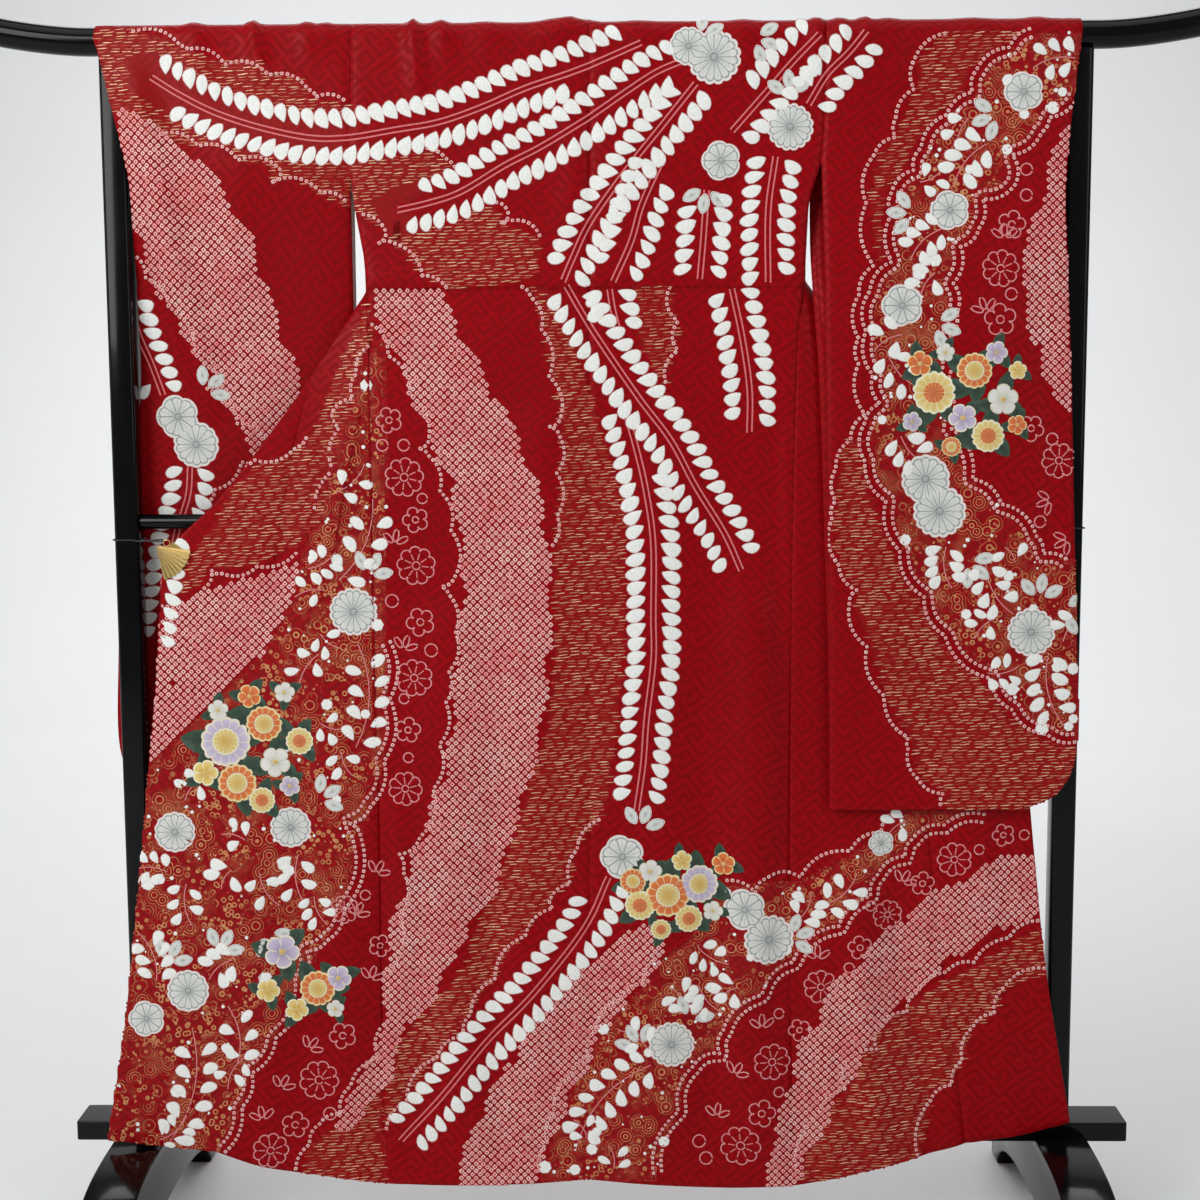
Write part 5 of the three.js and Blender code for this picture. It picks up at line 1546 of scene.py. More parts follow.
def gold_mist():
    """Stencilled garden ground: nested arcs round scattered middles, small rings and flecks of gold on
    crimson. Both come from the distance to scattered points: its sine gives arcs, a narrow span of it gives
    rings."""
    m = Nodes("gold_mist")
    x, _, z = m.split(m.place())
    at = m.join(x, 0.0, z)
    cloud = m.noise(at, 14.0, 3.0)
    middle = m.cells(at, 46.0)
    arcs = m.times(m.span(m.math("SINE", m.times(middle, 36.0)), 0.45, 0.95),
                  m.span(middle, 0.62, 0.5))
    arcs = m.times(arcs, m.span(cloud, 0.45, 0.54))
    small = m.cells(at, 110.0)
    rings = m.times(m.span(m.size(m.minus(small, 0.34)), 0.12, 0.05),
                   m.span(cloud, 0.50, 0.42))
    fleck = m.span(m.cells(at, 130.0), 0.26, 0.16)
    fleck = m.times(fleck, m.span(m.noise(at, 30.0, 1.0), 0.52, 0.58))
    mist = m.times(m.span(m.noise(at, 24.0, 4.0), 0.5, 0.72, 0.0, 0.3), m.span(cloud, 0.4, 0.6))
    gold = m.most(m.most(arcs, rings), m.most(fleck, mist))
    grain = m.noise(at, 900.0, 2.0)
    share = m.times(m.times(gold, m.span(grain, 0.3, 0.6, 0.35, 0.95)), m.tint())
    colour = m.mix(m.noise(at, 60.0, 2.0), (0.62, 0.20, 0.06, 1), (0.92, 0.58, 0.26, 1))
    return on_silk(m, share, colour, 0.4, share, 0.05, 0.35)


# ---------------------------------------------------------------- motifs
class Motifs:
    """Decals of one material, gathered from many motifs into one piece."""

    def __init__(self, name, material, lift):
        self.name, self.material, self.lift = name, material, lift
        self.points, self.faces, self.uvs, self.tints, self.count = [], [], [], [], 0

    def add(self, canvas, centres, offsets, faces, uv, tint=0.5, dome=0.0):
        """n motifs of k points: offsets (n, k, 2), uv (k, 2) or (n, k, 2), tint (n), dome (k) of extra
        lift."""
        centres = np.asarray(centres, float).reshape(-1, 2)
        offsets = np.broadcast_to(offsets, (len(centres), *offsets.shape[-2:]))
        lift = self.lift + np.broadcast_to(dome, offsets.shape[:2])
        points, kept = canvas.lay(centres, offsets, lift)
        points = points[kept]
        n, k = points.shape[:2]
        if n == 0:
            return
        faces = np.asarray(faces) if canvas.side == NEAR else np.asarray(faces)[:, ::-1]
        every = faces[None] + (np.arange(n) * k)[:, None, None] + self.count
        uv = np.broadcast_to(uv, (len(centres), k, 2))[kept]
        self.uvs.append(uv[:, faces].reshape(-1, 2))
        self.points.append(points.reshape(-1, 3))
        self.faces.append(every.reshape(-1, faces.shape[1]))
        self.tints.append(np.repeat(np.broadcast_to(tint, (len(centres),))[kept], k))
        self.count += n * k

    def make(self):
        if not self.count:
            return
        points, faces, uvs, tints = map(np.concatenate, (self.points, self.faces, self.uvs, self.tints))
        piece = make_object(self.name, points, faces, [self.material], uvs=uvs, tint=tints)
        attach(piece, "root")


DOT_PITCH = 7.7  # resist dots, centre to centre
BAND_UNDER_TUCK, BAND_ON_SLEEVE = 0, 3  # the bands that stop at the waist tuck, and at the sleeve's seam
FOIL_ROWS, FOIL_PITCH = 4.4, 16.0
FOIL_HALF_LENGTH, FOIL_HALF_WIDTH = 7, 0.95
FOIL_FROM_STEM, FOIL_FROM_ROSETTE = 32, 6  # clear ground that the dashes leave
FOIL_TILE, FOIL_FADE = 5.0, 8.0
MIST_TILE, MIST_FADE = 6.0, 12.0
SCATTER_GAP, SCATTER_LEAF, SCATTER_FROM_EDGE = 52, 21, 20
OUTLINE_BEAD, OUTLINE_HALF = 3.2, 1.25  # stitched outlines: length of a bead, half width
STEM_BEAD, STEM_APART = 3.6, 3.4  # a garland's twin stems lie this far on either side of its middle
LEAF_LEAN, SPRIG_LEAN = 0.42, 0.5  # radians past square to the stem
THREE_SWING, THREE_REACH, THREE_LEAF = 50.0, 24, 29.0  # leaves in threes: degrees apart, distance, length
DROP_SWING, DROP_REACH, DROP_RADIUS, DROP_SQUASH = 52, 13, 8.5, 0.45  # sprays of three drops
CHIP_TRIES, CHIP_BIG_SHARE = 260, 0.16
CHIP_BIG, CHIP_SMALL = (7, 11), (1.6, 3.4)  # least and greatest radius
CURVE_STEPS = 12  # from point to point of a garland's stem
SQUARE = np.array([(0, 0), (-1, -1), (1, -1), (1, 1), (-1, 1)], float)
SQUARE_FACES = np.array([(0, 1, 2), (0, 2, 3), (0, 3, 4), (0, 4, 1)])


def uneven(n, low, high):
    return rng.uniform(low, high, n)


def lay_dots(dots, canvas, places, angles, half, tint):
    """Little domed squares."""
    n = len(places)
    shape = turned(SQUARE, angles + uneven(n, -0.08, 0.08), half * uneven(n, 0.92, 1.06))
    dots.add(canvas, places, shape, SQUARE_FACES, SQUARE, tint, dome=(0.5, 0, 0, 0, 0))


def resist_fill(dots, canvas):
    """Dots on a lattice turned 45 degrees, kept where they lie in a band or an area."""
    i, j = np.meshgrid(np.arange(-170, 170), np.arange(-170, 170), indexing="ij")
    at = np.stack([(i - j) * DOT_PITCH * 0.7071, 900 + (i + j) * DOT_PITCH * 0.7071], axis=-1).reshape(-1, 2)
    at = at[(np.abs(at[:, 0]) < 740) & (at[:, 1] > 60) & (at[:, 1] < 1760)]
    wanted = np.zeros(len(at), bool)
    for number, band in enumerate(RESIST_BANDS):
        line = np.array(band, float)
        share = np.linspace(0, len(line) - 1, len(line) * 12)
        line = np.stack([np.interp(share, np.arange(len(line)), line[:, k]) for k in range(3)], axis=1)
        gap, k = nearest(at, line[:, :2])
        far = np.concatenate([[0.0], np.cumsum(np.linalg.norm(np.diff(line[:, :2], axis=0), axis=1))])
        scallop = 11 * np.abs(np.sin(far[k] * math.pi / 92)) - 7
        held = gap < line[k, 2] + scallop
        if number == BAND_UNDER_TUCK:
            held &= at[:, 1] < WAIST
        if number == BAND_ON_SLEEVE:
            sleeves = [i for i, name in enumerate(canvas.names) if name.startswith("sleeve")]
            held &= np.isin(canvas.owned(at), sleeves)
        wanted |= held
    for area in RESIST_AREAS:
        wanted |= inside(at, area)
    at = at[wanted]
    patch = np.sin(at[:, 0] / 31 + at[:, 1] / 57) * np.sin(at[:, 1] / 23 - at[:, 0] / 71)
    tint = np.clip(0.30 + 0.18 * patch + uneven(len(at), -0.2, 0.25), 0, 1)
    lay_dots(dots, canvas, at + rng.normal(0, 0.25, at.shape), np.full(len(at), math.pi / 4), 3.65, tint)


def cloud_outlines(dots, canvas):
    for cusps, bulge, lines in CLOUD_LINES:
        path = scalloped(cusps, bulge)
        for k in range(lines):
            at, angle = spaced(beside_path(path, -math.copysign(12.0 * k, bulge)), DOT_PITCH)
            lay_dots(dots, canvas, at, angle, 2.9, uneven(len(at), 0.25, 0.8))


def foil_fill(dashes, ground, canvas):
    """Level lenses in rows, every other row pushed on by half a pitch, none near a garland or a rosette."""
    stems = np.concatenate([catmull_rom(row[0], CURVE_STEPS) for row in GARLANDS])
    discs = np.array([row[:3] for row in ROSETTES], float)
    z, x = np.meshgrid(np.arange(80, 1745, FOIL_ROWS), np.arange(-730, 730, FOIL_PITCH), indexing="ij")
    row = np.arange(len(z))[:, None]
    x = x + (row % 2) * FOIL_PITCH / 2 + 4 * np.sin(row * 2.4) + uneven(x.shape, -2.5, 2.5)
    at = np.stack([x, z + uneven(z.shape, -0.8, 0.8)], axis=-1).reshape(-1, 2)
    for area in FOIL_AREAS:
        held = at[inside(at, area)]
        gap = nearest(held, stems)[0]
        away = (np.linalg.norm(held[:, None] - discs[None, :, :2], axis=2) - discs[None, :, 2]).min(axis=1)
        held = held[(gap > FOIL_FROM_STEM) & (away > FOIL_FROM_ROSETTE)]
        n = len(held)
        t = np.linspace(-1, 1, 5)
        half = FOIL_HALF_WIDTH * np.sqrt(np.clip(1 - 0.9 * t * t, 0, 1))
        run = t * FOIL_HALF_LENGTH
        shape = np.concatenate([np.stack([run, -half], axis=1), np.stack([run, half], axis=1)])
        uv = np.stack([np.tile(t, 2), np.repeat([-1.0, 1.0], 5)], axis=1)
        lenses = turned(shape, uneven(n, 0.0, 0.16), uneven(n, 0.8, 1.15))
        dashes.add(canvas, held, lenses, grid_faces(2, 5), uv, np.clip(rng.normal(0.5, 0.36, n), 0, 1))
        lay_ground(ground, canvas, area, FOIL_TILE, FOIL_FADE)


def lay_ground(ground, canvas, area, size, fade):
    """Square tiles over an area; the tint falls to 0 over a fade's width at the edge."""
    corners = np.array(area, float)
    low, high = corners.min(axis=0), corners.max(axis=0)
    x, z = np.meshgrid(np.arange(low[0], high[0], size), np.arange(low[1], high[1], size), indexing="ij")
    at = np.stack([x, z], axis=-1).reshape(-1, 2) + size / 2
    at = at[inside(at, area)]
    edge = spaced(np.concatenate([corners, corners[:1]]), 4.0)[0]
    gap = nearest(at, edge)[0]
    ground.add(canvas, at, np.broadcast_to(SQUARE * size / 2, (len(at), 5, 2)), SQUARE_FACES, SQUARE,
               np.clip(gap / fade, 0, 1))


def leaf_shape(full=1):
    """A teardrop 1 long: x = cos(a) / 2, z = 0.47 sin(a) |sin(a / 2)|^0.55, its point at x = 1/2 and its side
    away from full flatter."""
    faces, share, angle = disc(2, 14)
    x = 0.5 * np.cos(angle) * share
    z = 0.47 * np.sin(angle) * np.abs(np.sin(angle / 2)) ** 0.55 * share
    z = np.where(z * full < 0, z * 0.68, z)
    return faces, np.stack([x, z], axis=1), np.stack([share, angle], axis=1), 0.9 * (1 - share**2)


def lay_leaves(leaves, canvas, places, angles, sizes, full=1):
    faces, shape, uv, dome = leaf_shape(full)
    n = len(places)
    if n:
        warped = shape * np.stack([uneven(n, 0.94, 1.06), uneven(n, 0.86, 1.08)], axis=1)[:, None, :]
        warped = warped * (1 + 0.06 * np.sin(uv[None, :, 1] * 3 + uneven(n, 0, 6)[:, None]))[..., None]
        leaves.add(canvas, places, turned(warped, angles, sizes), faces, uv, uneven(n, 0, 1), dome)


def lay_ribbon(lines, canvas, path, half, bead, tint=0.6):
    """A thin ribbon along a path, in pieces of one bead."""
    at, angle = spaced(path, bead)
    shape = turned(np.array([(-0.5, -1), (0.5, -1), (0.5, 1), (-0.5, 1)]) * (bead * 1.06, half), angle)
    uv = np.array([(-1, 0), (-1, 1), (1, 1), (1, 0)], float)
    lines.add(canvas, at, shape, [(0, 1, 2, 3)], uv, tint)


def garlands(leaves, lines, canvas):
    """Twin stitched stems with a row of leaves on each side, their points towards the stem and up along
    it."""
    for points, size, pitch, aways, *spans in GARLANDS:
        stem = catmull_rom(points, CURVE_STEPS)
        for side in (-STEM_APART, STEM_APART):
            lay_ribbon(lines, canvas, beside_path(stem, side), 1.5, STEM_BEAD, 0.2)
        for side, away, (start, end) in zip((-1, 1), aways, spans):
            row, angle = spaced(beside_path(stem, side * away), pitch)
            share = np.linspace(0, 1, len(row))
            held = (share >= start) & (share <= end)
            row, angle, share = row[held], angle[held], share[held]
            inward = angle + side * (math.pi / 2 + LEAF_LEAN)
            lay_leaves(leaves, canvas, row, inward, size * (1.12 - 0.2 * np.abs(share - 0.4)), -side)


def lay_sprig(leaves, lines, canvas, a, b, count, size):
    """A bowed stem with leaves on both sides, their points towards its foot."""
    t = np.linspace(0, 1, 9)[:, None]
    bow = np.array([b[1] - a[1], a[0] - b[0]]) * 0.12
    path = a + (b - a) * t + bow * 4 * t * (1 - t)
    lay_ribbon(lines, canvas, path, 0.9, STEM_BEAD)
    for side in (-1, 1):
        row, angle = spaced(beside_path(path, side * size * 0.72), np.linalg.norm(b - a) / count)
        inward = angle[:count] + side * (math.pi / 2 + SPRIG_LEAN)
        lay_leaves(leaves, canvas, row[:count], inward, size, -side)


def sprigs(leaves, lines, canvas):
    for x0, z0, x1, z1, count, size in SPRIGS:
        lay_sprig(leaves, lines, canvas, np.array((x0, z0), float), np.array((x1, z1), float), count, size)


def rosettes(drawn, canvas):
    """Discs with a scalloped rim: it falls short of the radius by deep (1 - |sin(petals angle / 2)|^0.6)."""
    faces, share, angle = disc(4, 64)
    for x, z, radius, petals in ROSETTES:
        many = petals > 8
        deep = 0.08 if many else 0.16
        rim = 1 - deep * (1 - np.abs(np.sin(petals * angle / 2)) ** 0.6)
        shape = polar(radius * share * (1 + (rim - 1) * share), angle)
        uv = np.stack([share, angle / (2 * math.pi) * (petals if many else 2 * petals)], axis=1)
        uv[0] = (0, 0)
        drawn.add(canvas, [(x, z)], shape[None], faces, uv, 0.5, 0.5 * (1 - share**4))


def grey_leaves(small, canvas):
    """Fans of three small drawn leaves."""
    faces, share, angle = disc(2, 12)
    x = 0.5 * np.cos(angle) * share
    z = 0.30 * np.sin(angle) * np.abs(np.sin(angle)) ** 0.4 * share
    shape = np.stack([x, z], axis=1)
    uv = np.stack([share, np.where(np.abs(z) < 0.02, 0.5, 0.25)], axis=1)
    for cx, cz, degrees in LEAF_THREES:
        fan = np.radians(degrees + THREE_SWING * np.array([-1, 0, 1]))
        at = np.array((cx, cz)) + polar(THREE_REACH, fan)
        small.add(canvas, at, turned(shape, fan, THREE_LEAF), faces, uv, 0.5, 0.5 * (1 - share**2))


def polar(radius, angles, turn=0.0):
    return np.stack([radius * np.cos(angles + turn), radius * np.sin(angles + turn)], axis=1)


def petal_lobes(angles, petals, deep):
    """A rim of petals, as a share of the radius: 1 - deep + deep |sin(petals a / 2)|^0.5."""
    return 1 - deep + deep * np.abs(np.sin(petals * angles / 2)) ** 0.5


def outlined_flowers(lines, canvas):
    """Pink stitched outlines: daisies of nine petals, flowers of five, small rings and sprays of three
    drops."""
    def stitched(at, loop):
        tint = uneven(len(spaced(loop, OUTLINE_BEAD)[0]), 0.3, 0.9)
        lay_ribbon(lines, canvas, loop + at, OUTLINE_HALF, OUTLINE_BEAD, tint)

    def ring(at, radius, squash=1.0, turn=0.0):
        loop = polar(radius, np.linspace(0, 2 * math.pi, 40)) * (1, squash)
        stitched(at, turned(loop, np.array([turn]))[0])

    def flower(at, radius, petals, deep, turn):
        a = np.linspace(0, 2 * math.pi, petals * 18 + 1)
        stitched(at, polar(radius * petal_lobes(a, petals, deep), a, turn))

    for x, z, radius in DAISIES:
        turn = rng.uniform(0, 1)
        flower((x, z), radius, 9, 0.22, turn)
        for k in range(9):
            way = polar(1, np.array([2 * math.pi * k / 9]), turn)
            spoke = (x, z) + way * (np.array([[0.30], [0.74]]) * radius)
            lay_ribbon(lines, canvas, spoke, 1.1, OUTLINE_BEAD, 0.4)
        ring((x, z), radius * 0.20)
    for x, z, radius in PLUMS:
        turn = rng.uniform(0, 1.2)
        flower((x, z), radius, 5, 0.42, turn)
        ring((x, z), radius * 0.24)
    for x, z, radius in RINGS:
        ring((x, z), radius)
    for x, z, degrees in SPRAYS:
        for a in np.radians(degrees + DROP_SWING * np.array([-1, 0, 1])):
            ring((x + DROP_REACH * math.cos(a), z + DROP_REACH * math.sin(a)), DROP_RADIUS, DROP_SQUASH, a)


def scattered(leaves, lines, canvas):
    """More sprigs in the gardens, at random places clear of each other and of the charted motifs: each is a
    bowed stem of 34 to 56 with two or three leaves on a side."""
    taken = [np.array([row[:2] for row in ROSETTES + BLOOMS + LEAF_THREES], float)]
    taken.append(np.array([np.array(row[:4], float).reshape(2, 2).mean(axis=0) for row in SPRIGS]))
    taken = np.concatenate(taken)
    for area in GARDENS:
        corners = np.array(area, float)
        edge = spaced(np.concatenate([corners, corners[:1]]), 6.0)[0]
        for at in rng.uniform(corners.min(axis=0), corners.max(axis=0), (220, 2)):
            clear = np.linalg.norm(taken - at, axis=1).min() > SCATTER_GAP
            within = inside(at[None], area)[0] and nearest(at[None], edge)[0][0] >= SCATTER_FROM_EDGE
            if not clear or not within:
                continue
            taken = np.concatenate([taken, at[None]])
            a = rng.uniform(0, 2 * math.pi)
            half = rng.uniform(17, 28) * np.array([math.cos(a), math.sin(a)])
            lay_sprig(leaves, lines, canvas, at - half, at + half, 2 + (np.hypot(*half) > 23), SCATTER_LEAF)


def confetti(blobs, canvas):
    """Pale chips and small blobs scattered over the gardens."""
    faces, share, angle = disc(1, 7)
    for area in GARDENS:
        corners = np.array(area, float)
        at = rng.uniform(corners.min(axis=0), corners.max(axis=0), (CHIP_TRIES, 2))
        at = at[inside(at, area)]
        n = len(at)
        sizes = np.where(uneven(n, 0, 1) < CHIP_BIG_SHARE, uneven(n, *CHIP_BIG), uneven(n, *CHIP_SMALL))
        chips = turned(polar(share, angle), uneven(n, 0, 6), sizes)
        uv = np.stack([share, angle], axis=1)
        blobs.add(canvas, at, chips, faces, uv, uneven(n, 0, 1), 0.3 * (1 - share))


def blooms(threads, canvas):
    """Generic embroidered flowers: a disc of petals, a smaller one on it, and small leaves round it."""
    faces, share, angle = disc(3, 60)
    leaf_faces, leaf_points, leaf_uv, leaf_dome = leaf_shape()
    for x, z, radius, kind, colour in BLOOMS:
        five = kind == "five"
        petals = 5 if five else 14
        deep = 0.26 if five else 0.13
        heart = "orange" if colour == "yellow" and not five else "yellow"
        turn = rng.uniform(0, 1)
        for size, thread_name, high in ((1.0, colour, 0.0), (0.22 if five else 0.55, heart, 0.6)):
            lobe = petal_lobes(angle, petals, deep)
            shape = polar(radius * size * share * (1 + (lobe - 1) * share), angle, turn)
            uv = np.stack([share, angle / (2 * math.pi) * petals], axis=1)
            dome = high + 0.9 * (1 - share**2)
            threads[thread_name].add(canvas, [(x, z)], shape[None], faces, uv, 0.5, dome)
        for k in range(3 if radius > 12 else 1):
            a = turn * 6 + k * 2.1
            at = np.array((x, z)) + radius * 1.05 * np.array([math.cos(a), math.sin(a)])
            leaf = turned(leaf_points, np.array([a]), radius * 1.5)
            threads["green"].add(canvas, [at], leaf, leaf_faces, leaf_uv, 0.5, 0.3 * leaf_dome)


# Each thread's colour at the middle, at the rim and along the petals' edges
THREADS = {
    "orange": ((0.75, 0.12, 0.02, 1), (0.86, 0.22, 0.03, 1), (0.93, 0.74, 0.36, 1)),
    "yellow": ((0.85, 0.50, 0.06, 1), (0.92, 0.76, 0.28, 1), (0.95, 0.90, 0.66, 1)),
    "white": ((0.80, 0.78, 0.66, 1), (0.90, 0.90, 0.86, 1), (0.72, 0.66, 0.50, 1)),
    "lilac": ((0.50, 0.40, 0.58, 1), (0.70, 0.62, 0.78, 1), (0.88, 0.80, 0.62, 1)),
    "green": ((0.008, 0.035, 0.018, 1), (0.022, 0.075, 0.035, 1), (0.20, 0.30, 0.16, 1)),
}


def make_pattern():
    near = Canvas(NEAR, ("back_left", "back_right", "front_left", "front_right",
                         "overlap_left", "overlap_right", "sleeve_left_back", "sleeve_right_back"))
    far = Canvas(FAR, ("sleeve_left_front", "sleeve_right_front", "front_left", "front_right"))
    pink = pink_line()
    parts = {
        "foil_ground": Motifs("silk_browned_ground", foil_ground(), 0.10),
        "mist": Motifs("silk_gold_mist", gold_mist(), 0.16),
        "dots": Motifs("silk_resist_dots", resist_dot(), 0.22),
        "dashes": Motifs("silk_foil_dashes", foil_dash(), 0.24),
        "lines": Motifs("silk_stitched_lines", pink, 0.30),
        "leaves": Motifs("silk_white_leaves", leaf_white(), 0.36),
        "small": Motifs("silk_drawn_leaves", petal_grey("leaf_grey"), 0.40),
        "rosettes": Motifs("silk_drawn_rosettes", petal_grey("rosette_grey"), 0.44),
    }
    threads = {name: thread("thread_" + name, *colours, name != "green") for name, colours in THREADS.items()}
    sewn = {name: Motifs("silk_" + material.name, material, 0.95 - 0.35 * (name == "green"))
            for name, material in threads.items()}
    for canvas in (near, far):
        foil_fill(parts["dashes"], parts["foil_ground"], canvas)
        for area in GARDENS:
            lay_ground(parts["mist"], canvas, area, MIST_TILE, MIST_FADE)
        resist_fill(parts["dots"], canvas)
        cloud_outlines(parts["dots"], canvas)
        outlined_flowers(parts["lines"], canvas)
        garlands(parts["leaves"], parts["lines"], canvas)
        sprigs(parts["leaves"], parts["lines"], canvas)
        scattered(parts["leaves"], parts["lines"], canvas)
        confetti(parts["leaves"], canvas)
        rosettes(parts["rosettes"], canvas)
        grey_leaves(parts["small"], canvas)
        blooms(sewn, canvas)
    for motifs in (*parts.values(), *sewn.values()):
        motifs.make()


make_pattern()


# ---------------------------------------------------------------- stand
RAIL_D, RAIL_HALF, RAIL_STRAIGHT, RAIL_RISE = 39.5, 915, 700, 34
POST_W, POST_ROUND, POST_X = 35, 6, 670.5
MID_D, MID_TOP = 21.5, 1066.5
BAR_HALF, BAR_DEEP, BAR_HIGH, BAR_TOP = 769, 68, 28, 175
FOOT_W, FOOT_HALF, FOOT_TOP, FOOT_POWER = 75, 285, 156, 4.2
ARCH_HALF, ARCH_TOP, ARCH_POWER = 235, 62, 2.1
SEAT = 0.3  # gap between parts that touch
RAIL_CURVE = 1.7  # the rail's tips rise with this power of the way out
RAIL_EDGE, MID_EDGE, POST_EDGE, FOOT_EDGE, BAR_EDGE = 3.0, 1.0, 1.0, 3.0, 1.6  # rounding of the ends and rims


def finish_piece(name, points, faces, materials, node, slot, **more):
    """A closed surface in millimetres becomes a piece that stands for a CAD node."""
    faces = faced_out(points, np.asarray(faces))
    piece = make_object(name, np.asarray(points) * MM, faces, materials, **more)
    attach(piece, "root")
    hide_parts(node)
    return piece


def along_path(path, profile, closed=False):
    """A round profile, as (radius at each point of the path, sides), carried along a path. Its first axis
    is a fixed direction without the part of it that lies along the path."""
    tangent = unit(np.gradient(path, axis=0))
    if closed:
        tangent = unit(np.roll(path, -1, axis=0) - np.roll(path, 1, axis=0))
    fixed = np.array([0.0, 0.0, 1.0]) if abs(tangent[:, 2]).max() < 0.9 else np.array([0.0, 1.0, 0.0])
    first = unit(fixed - tangent * (tangent @ fixed)[:, None])
    second = np.cross(tangent, first)
    radius, sides = profile
    angle = np.linspace(0, 2 * math.pi, sides, endpoint=False)
    ring = np.cos(angle)[None, :, None] * first[:, None] + np.sin(angle)[None, :, None] * second[:, None]
    return path[:, None] + ring * np.broadcast_to(radius, (len(path),))[:, None, None]


def round_bar(name, node, path, radius, sides, cap):
    """A tube with ends rounded over: the last rings follow a quarter circle of radius cap, then meet in a
    point."""
    turn = np.linspace(0, math.pi / 2, 5)
    ends = cap * (1 - np.sin(turn))[:, None]
    start, stop = path[0], path[-1]
    low = start + unit(path[1] - start) * ends
    high = stop - unit(stop - path[-2]) * ends
    shrunk = radius - cap * (1 - np.cos(turn))
    inner = path[1:-1]
    line = np.concatenate([low[::-1], inner, high])
    radii = np.concatenate([shrunk[::-1], np.full(len(inner), radius), shrunk])
    rings = along_path(line, (radii, sides))
    points = np.concatenate([rings.reshape(-1, 3), [start], [stop]])
    finish_piece(name, points, tube_faces(len(line), sides), [LACQUER], node, "black_lacquer")


def inset(outline, amount):
    """Each corner of a closed outline moved inwards by amount along the mean of its two edges' normals."""
    after = unit(np.roll(outline, -1, axis=0) - outline)
    before = np.roll(after, 1, axis=0)
    one = np.stack([-before[:, 1], before[:, 0]], axis=1)
    two = np.stack([-after[:, 1], after[:, 0]], axis=1)
    middle = unit(one + two)
    share = np.maximum((middle * one).sum(axis=1), 0.5)
    return outline + middle * (amount / share)[:, None]


def slab(name, node, outline, low, high, soft, place, material=LACQUER, slot="black_lacquer"):
    """An outline (counterclockwise) extruded from low to high, its two rims rounded with radius soft; place
    turns (u, v, w) columns into (x, y, z). Blender's polygon filler makes the triangles of the two end
    faces."""
    turn = np.linspace(0, math.pi / 2, 5)
    levels = [(low + soft * (1 - math.sin(t)), soft * (1 - math.cos(t))) for t in turn[::-1]]
    levels += [(high - soft * (1 - math.sin(t)), soft * (1 - math.cos(t))) for t in turn]
    rings = [np.column_stack([inset(outline, d), np.full(len(outline), w)]) for w, d in levels]
    n, m = len(rings), len(outline)
    points = np.concatenate(rings)
    quads = grid_faces(n, m, closed=True)
    cap = np.array(tessellate_polygon([[Vector((u, v, 0)) for u, v, w in rings[0]]]))
    a, b, c = (rings[0][cap[:, k]] for k in range(3))
    area = np.cross(b - a, c - a)[:, 2].sum()
    cap = cap if area > 0 else cap[:, ::-1]
    faces = np.concatenate([quads[:, [0, 1, 2]], quads[:, [0, 2, 3]], cap[:, ::-1], cap + (n - 1) * m])
    sharpen(finish_piece(name, place(points), faces, [material], node, slot))


def sharpen(piece, degrees=40):
    """Smooth shading that keeps edges sharper than the given angle: their corners get split normals."""
    piece.data.set_sharp_from_angle(angle=math.radians(degrees))


def rounded_rectangle(width, depth, radius):
    """Corner centres plus radius times (cos, sin), a quarter turn each, counterclockwise."""
    w, d = width / 2 - radius, depth / 2 - radius
    turn = np.linspace(0, math.pi / 2, 6)
    corners = []
    for k, (x, y) in enumerate(((w, -d), (w, d), (-w, d), (-w, -d))):
        angle = turn - math.pi / 2 + k * math.pi / 2
        corners.append(np.stack([x + radius * np.cos(angle), y + radius * np.sin(angle)], axis=1))
    return np.concatenate(corners)


def superellipse(half, top, power, share):
    angle = share * math.pi / 2
    return half * np.cos(angle) ** (2 / power), top * np.sin(angle) ** (2 / power)


def foot_outline():
    """Outer superellipse arch with a square notch for the bar, and the hollow under it."""
    notch, floor = BAR_DEEP / 2 + SEAT, BAR_TOP - BAR_HIGH - SEAT
    y, z = superellipse(FOOT_HALF, FOOT_TOP, FOOT_POWER, np.linspace(0, 1, 49)[:-1])
    y, z = y[y > notch + 2], z[y > notch + 2]
    hollow_y, hollow_z = superellipse(ARCH_HALF, ARCH_TOP, ARCH_POWER, np.linspace(0, 1, 33))
    right = np.stack([y, z], axis=1)
    left = (right * (-1, 1))[::-1]
    square = np.array([(notch, FOOT_TOP), (notch, floor), (-notch, floor), (-notch, FOOT_TOP)])
    under = np.stack([hollow_y, hollow_z], axis=1)
    return np.concatenate([right, square, left, under * (-1, 1), under[::-1][1:]])


